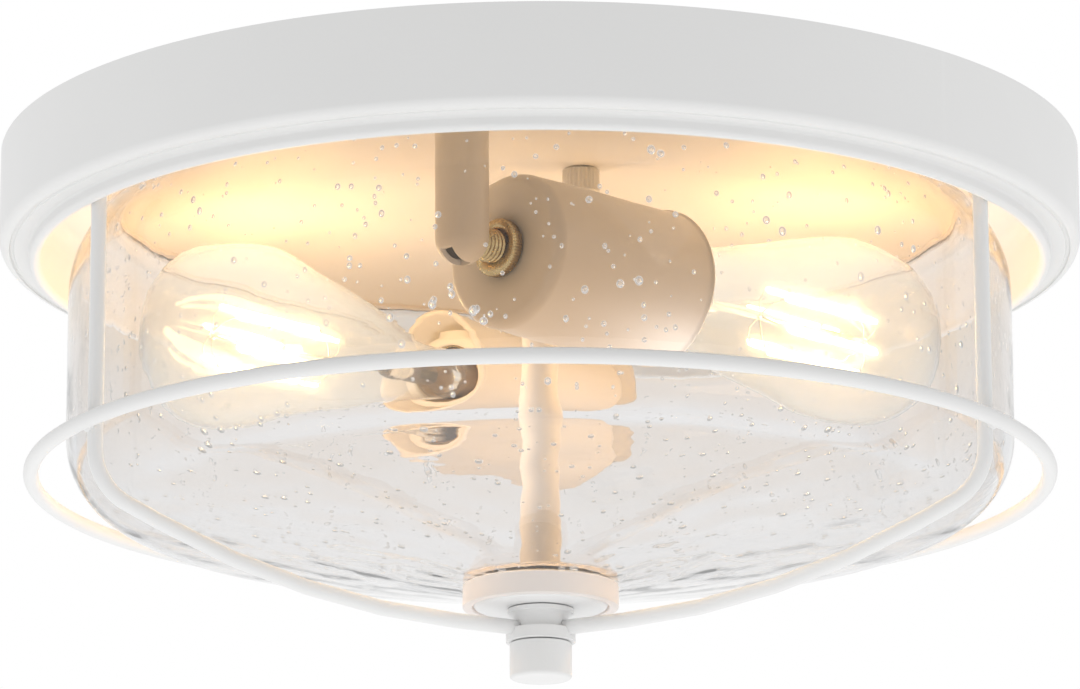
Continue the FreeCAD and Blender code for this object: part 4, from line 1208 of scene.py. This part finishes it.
class LIGHT_OT_holders(Operator):
    """Makes each holder's cup with its rolled lip, the porcelain body and the threaded shell"""
    bl_idname = "light.holders"
    bl_label = "Lamp holders"

    def execute(self, context):
        cup = trace([
            (5.0, 0),
            (18.8, 0),
            (22.3, 3.5, 3.5, 1),
            (22.3, 59.9),
            (23.0, 61.1, 1.2, -1),
            (22.4, 62.0, 0.8, 1),
            (21.1, 62.0),
            (21.1, 3.5),
            (18.8, 1.2, 2.3, -1),
            (5.0, 1.2),
        ])
        porcelain = trace([
            (NIPPLE_HOLE, 4.6), (17.0, 4.6), (18.5, 6.1, 1.5, 1), (18.5, 54.0),
            (16.5, 56.0, 2.0, 1), (14.9, 56.0), (13.92, 55.0, 1.0, 1), (13.92, 24.9), (0, 24.9),
            (0, 12), (NIPPLE_HOLE, 12)])
        for holder in HOLDERS:
            side, move = holder.side, holder.lay
            lathe(cup, 160, f"{side}_cup", "pan", "white_paint", f"{side}_socket_cup", move=move)
            lathe(porcelain, 128, f"{side}_porcelain", "pan", "porcelain", f"{side}_socket_body",
                  move=move)
            self.shell(holder)
        return {"FINISHED"}

    def shell(self, holder):
        """plain outside, threaded inside"""
        inside, outside, back = 13.27, 13.86, 24.95
        base = turned(np.array(((6, back), (6, 25.5), (inside, 25.5))), SCREW_SEGMENTS)
        inner = screw_wall(inside, 0.5, np.linspace(26, 55, 90), low=28, high=54.5)
        outer = turned(np.array(((outside, 55.0), (outside, back))), SCREW_SEGMENTS)
        made = Solid().add(np.concatenate((base, inner, outer)), wrap_rows=True)
        made.piece(f"{holder.side}_thread_shell", "pan", "brass",
                   nodes=[f"{holder.side}_screw_shell"], move=holder.lay)


def bulb_outline(offset):
    """neck, flare, cone and dome of a bulb as tangent arcs, moved in by an offset"""
    neck, flare, blend, dome = 12.4, 70, 48, 29.5
    foot, neck_end = 48, 58
    cone = math.radians(14)
    lean, tilt = math.cos(cone), math.sin(cone)
    cone_start = neck + flare * (1 - lean)
    cone_end = dome - blend * (1 - lean)
    shoulder = neck_end + flare * tilt + (cone_end - cone_start) * lean / tilt + blend * tilt
    neck, flare, blend, dome = neck - offset, flare + offset, blend - offset, dome - offset
    return [
        (neck, foot),
        (neck, neck_end),
        (neck + flare * (1 - lean), neck_end + flare * tilt, flare, -1),
        (dome - blend * (1 - lean), shoulder - blend * tilt),
        (dome, shoulder, blend, 1),
        (0, shoulder + dome, dome, 1),
    ]


class LIGHT_OT_bulbs(Operator):
    """Makes each bulb: glass, threaded base, contact, glass stem, glowing strips and their wires"""
    bl_idname = "light.bulbs"
    bl_label = "Bulbs"

    def execute(self, context):
        wall = 1
        outer, inner = (divided(trace(bulb_outline(offset)), 3, closed=False)
                        for offset in (0, wall))
        glass = np.concatenate((outer, inner[::-1]))
        stem = trace([
            (0, 51), (11.3, 51), (11.3, 52), (5.2, 56, 7, 1), (4.4, 74), (1.4, 84, 12, 1),
            (1.2, 149), (2.0, 150.4), (0, 151.2)])
        for holder in HOLDERS:
            side, body, move = holder.side, f"{holder.side}_bulb", holder.lay
            lathe(glass, 128, f"{side}_envelope", body, "bulb_glass", f"{side}_bulb_glass",
                  move=move)
            self.base(holder, body)
            lathe(stem, 48, f"{side}_stem", body, "mount_glass", f"{side}_bulb_mount",
                  wrap_rows=False, move=move)
            self.strips(holder, body)
        return {"FINISHED"}

    def base(self, holder, body):
        """the threaded base, the contact and the black glass between them"""
        side, move = holder.side, holder.lay
        start = turned(np.array(((8.5, 28.0), (8.5, 27.45))), SCREW_SEGMENTS)
        outer = screw_wall(13.1, -0.75, np.linspace(30, 54, 80), low=30, high=51.5)
        inner = turned(np.array(((12.45, 54.0), (12.2, 30.6))), SCREW_SEGMENTS)
        made = Solid().add(np.concatenate((start, outer, inner)), wrap_rows=True)
        made.piece(f"{side}_base_thread", body, "base_metal", nodes=[f"{side}_bulb_base"],
                   move=move)
        button = trace([(0, 26.6), (2.4, 26.6), (3.2, 26.9, 0.9, 1), (3.2, 27.0), (0, 27.0)])
        lathe(button, 32, f"{side}_button", body, "base_metal", f"{side}_bulb_eyelet",
              wrap_rows=False, move=move)
        collar = trace([(0, 27.0), (3.4, 27.0), (8.4, 27.45, 14, 1), (8.4, 28.0), (0, 28.0)])
        lathe(collar, 48, f"{side}_black_collar", body, "base_metal", wrap_rows=False,
              surface="black_glass", move=move)

    def strips(self, holder, body):
        """round-ended strips on a circle about the axis, on wires from the stem's rod"""
        number, spread, wire = 6, 9, 0.28
        strips, wires = Solid(), Solid()
        strip = trace([(0, 108), (0.9, 108.9, 0.9, 1), (0.9, 147.1), (0, 148, 0.9, 1)])
        for turn in range(number):
            out, _ = outwards(2 * math.pi * turn / number)
            strips.add(turned(strip, 12) + out * spread)
            for low, high in ((104.5, 109.5), (151.0, 146.5)):
                rise = high - low
                line = np.array((
                    (1.1, low), (5, low + rise * 0.1), (8, low + rise * 0.5), (spread, high)))
                wires.add(piped(stood(line, out), wire, sides=8))
        strips.piece(f"{holder.side}_strips", body, "glowing_strip",
                     nodes=[f"{holder.side}_filament"], move=holder.lay)
        wires.piece(f"{holder.side}_strip_wires", body, "zinc_steel", move=holder.lay)


def hidden_lamp(name, watts, size, place):
    """a point light that lights things and is never seen itself; its place is in millimetres"""
    lamp = bpy.data.lights.new(name, "POINT")
    lamp.energy = watts
    lamp.shadow_soft_size = size
    thing = bpy.data.objects.new(name, lamp)
    bpy.context.scene.collection.objects.link(thing)
    thing.location = np.array(place) * MM
    thing.visible_camera = thing.visible_transmission = thing.visible_glossy = False
    return thing


class LIGHT_OT_glow(Operator):
    """Puts a warm light in each bulb, at the middle of its strips"""
    bl_idname = "light.glow"
    bl_label = "Light of the bulbs"

    def execute(self, context):
        glow = context.scene.light_glow
        for holder in HOLDERS:
            place = holder.at(LAMP_PLACE)
            thing = hidden_lamp(f"{holder.side}_glow", glow.power, LAMP_SIZE, place)
            thing.data.color = glow.light
            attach(thing, f"{holder.side}_bulb")
        return {"FINISHED"}


def stage_sheet(name, height, faces_up, material):
    """a wide level square"""
    half = STAGE_HALF
    corners = [(-half, -half, height), (half, -half, height),
               (half, half, height), (-half, half, height)]
    if not faces_up:
        corners[1], corners[3] = corners[3], corners[1]
    mesh = bpy.data.meshes.new(name)
    mesh.from_pydata(corners, [], [(0, 1, 2, 3)])
    mesh.materials.append(material)
    thing = bpy.data.objects.new(name, mesh)
    bpy.context.scene.collection.objects.link(thing)
    return thing


class LIGHT_OT_stage(Operator):
    """Sets the camera, the floor and the soft studio light"""
    bl_idname = "light.stage"
    bl_label = "Camera, floor and studio"

    def execute(self, context):
        stage = context.scene.light_stage
        camera = bpy.data.cameras.new("camera")
        camera.lens = stage.lens
        camera.clip_end = 100
        eye = bpy.data.objects.new("camera", camera)
        context.scene.collection.objects.link(eye)
        rise = math.atan2(stage.aim - stage.height, stage.distance)
        eye.location = (0, -stage.distance, stage.height)
        eye.rotation_euler = (math.pi / 2 + rise, 0, 0)
        eye.rotation_euler.rotate_axis("Z", stage.roll)
        context.scene.camera = eye
        self.floor(stage)
        self.ceiling(stage)
        self.studio(stage)
        for number, place in enumerate(FILL_PLACES):
            hidden_lamp(f"fill_{number}", stage.fill, FILL_SIZE, place)
        context.scene.view_settings.view_transform = "Standard"
        return {"FINISHED"}

    def ceiling(self, stage):
        """a ceiling that only shows through the glass, with a painted pool of warm lamp light round
        the light that fades to pale further out
        """
        finish = Finish("ceiling")
        # Painted light: the bulbs' warm light on the ceiling is emission, fading out to the plain
        # far colour.
        out = finish.vector("LENGTH", {0: finish.place})
        lamp_pool_edge = finish.ramp(out, (0.19, 0), (0.31, 1))
        far = finish.ramp(out, (0.35, 0), (0.55, 1))
        tone = finish.blend(lamp_pool_edge, tuple(stage.ceiling_lamp_pool), tuple(stage.ceiling_pool_fade))
        tone = finish.blend(far, tone, tuple(stage.ceiling_far))
        thing = stage_sheet("ceiling", 0, False, finish.done(finish.principled(
            Base_Color=(0, 0, 0), Roughness=1.0, Specular_IOR_Level=0.0, Emission_Color=tone,
            Emission_Strength=1.0)))
        thing.visible_camera = thing.visible_diffuse = False
        thing.visible_glossy = thing.visible_shadow = False

    def floor(self, stage):
        """a wide plain floor: light from under it passes, and through glass it looks even"""
        finish = Finish("pale_floor")
        grain = finish.noise(60)
        tone = tuple(stage.floor_colour)
        base = finish.blend(grain, tone, dimmed(tone, 0.99))
        depth, through = finish.paths("Diffuse Depth", "Transmission Depth")
        glass = finish.maths("GREATER_THAN", through, 0.5)
        matt = finish.principled(
            Base_Color=finish.blend(glass, base, (0, 0, 0)), Roughness=0.9,
            Emission_Color=finish.blend(glass, (0.3, 0.3, 0.3), (0.9, 0.9, 0.9)),
            Emission_Strength=1.0)
        behind = finish.node("ShaderNodeNewGeometry", output="Backfacing")
        open_to = finish.maths("MAXIMUM", behind, finish.maths("GREATER_THAN", depth, 0.5))
        clear = finish.node("ShaderNodeBsdfTransparent")
        material = finish.done(finish.mix(open_to, matt, clear))
        thing = stage_sheet("floor", stage.floor, True, material)

    def studio(self, stage):
        """even light, brighter from below and both sides; past the object the camera sees white"""
        world = bpy.data.worlds.new("studio")
        bpy.context.scene.world = world
        world.use_nodes = True
        world.cycles.sampling_method = "NONE"
        board = Board(world.node_tree)
        way = board.node("ShaderNodeTexCoord", output="Generated")
        down, side, front = (board.vector("DOT_PRODUCT", {0: way, 1: axis})
                             for axis in ((0, 0, -1), (1, 0, 0), (0, -1, 0)))
        under = board.maths("MAXIMUM", down, 0)
        open_air = board.grey(stage.ambient + under * stage.below + side * side * stage.sides)
        ahead = board.maths("MAXIMUM", front, 0)
        level = stage.shaded * (1 - ahead * stage.shaded_front)
        warm = board.vector("SCALE", {0: tuple(stage.shaded_colour), "Scale": level}, output=0)
        white = board.grey(under * stage.shaded_below)
        shaded = board.vector("ADD", {0: warm, 1: white}, output=0)
        mirrored = board.grey(1 - ahead * stage.front)
        camera, glossy, transmitted, diffuse_depth, glass_depth = board.paths(
            "Is Camera Ray", "Is Glossy Ray", "Is Transmission Ray", "Diffuse Depth",
            "Transmission Depth")
        scattered = board.maths("GREATER_THAN", diffuse_depth, 0.5)
        inside = (scattered * board.maths("GREATER_THAN", glass_depth, 0.5)
                  * board.maths("LESS_THAN", glass_depth, 3.5))
        straight = board.maths("MAXIMUM", camera, transmitted) * (1 - scattered)
        tone = board.blend(inside, open_air, shaded)
        tone = board.blend(glossy * (1 - scattered), tone, mirrored)
        tone = board.blend(straight, tone, (1, 1, 1))
        light = board.node("ShaderNodeBackground", {"Color": tone, "Strength": 1.0})
        board.end("ShaderNodeOutputWorld", light)


class LIGHT_PT_panel(Panel):
    """Lists the operators in the sidebar"""
    bl_idname = "LIGHT_PT_panel"
    bl_label = "Ceiling light"
    bl_space_type = "VIEW_3D"
    bl_region_type = "UI"
    bl_category = "Ceiling Light"

    def draw(self, context):
        for step in STEPS:
            self.layout.operator(step.bl_idname)
        for name in GROUPS:
            group = getattr(context.scene, name)
            for field in group.__annotations__:
                self.layout.prop(group, field)


GROUPS = {
    "light_paint": PaintSettings,
    "light_pan": PanSettings,
    "light_shade": ShadeSettings,
    "light_cage": CageSettings,
    "light_glow": GlowSettings,
    "light_stage": StageSettings,
}
STEPS = (
    LIGHT_OT_stage,
    LIGHT_OT_finishes,
    LIGHT_OT_pan,
    LIGHT_OT_shade,
    LIGHT_OT_seeds,
    LIGHT_OT_cage,
    LIGHT_OT_middle,
    LIGHT_OT_knurling,
    LIGHT_OT_fasteners,
    LIGHT_OT_holders,
    LIGHT_OT_bulbs,
    LIGHT_OT_glow,
)


def register():
    for name, group in GROUPS.items():
        bpy.utils.register_class(group)
        setattr(bpy.types.Scene, name, PointerProperty(type=group))
    for thing in (*STEPS, LIGHT_PT_panel):
        bpy.utils.register_class(thing)


def unregister():
    for thing in reversed((*STEPS, LIGHT_PT_panel)):
        bpy.utils.unregister_class(thing)
    for name, group in GROUPS.items():
        delattr(bpy.types.Scene, name)
        bpy.utils.unregister_class(group)


def main():
    register()
    for step in STEPS:
        area, name = step.bl_idname.split(".")
        getattr(getattr(bpy.ops, area), name)()


if __name__ == "__main__":
    main()
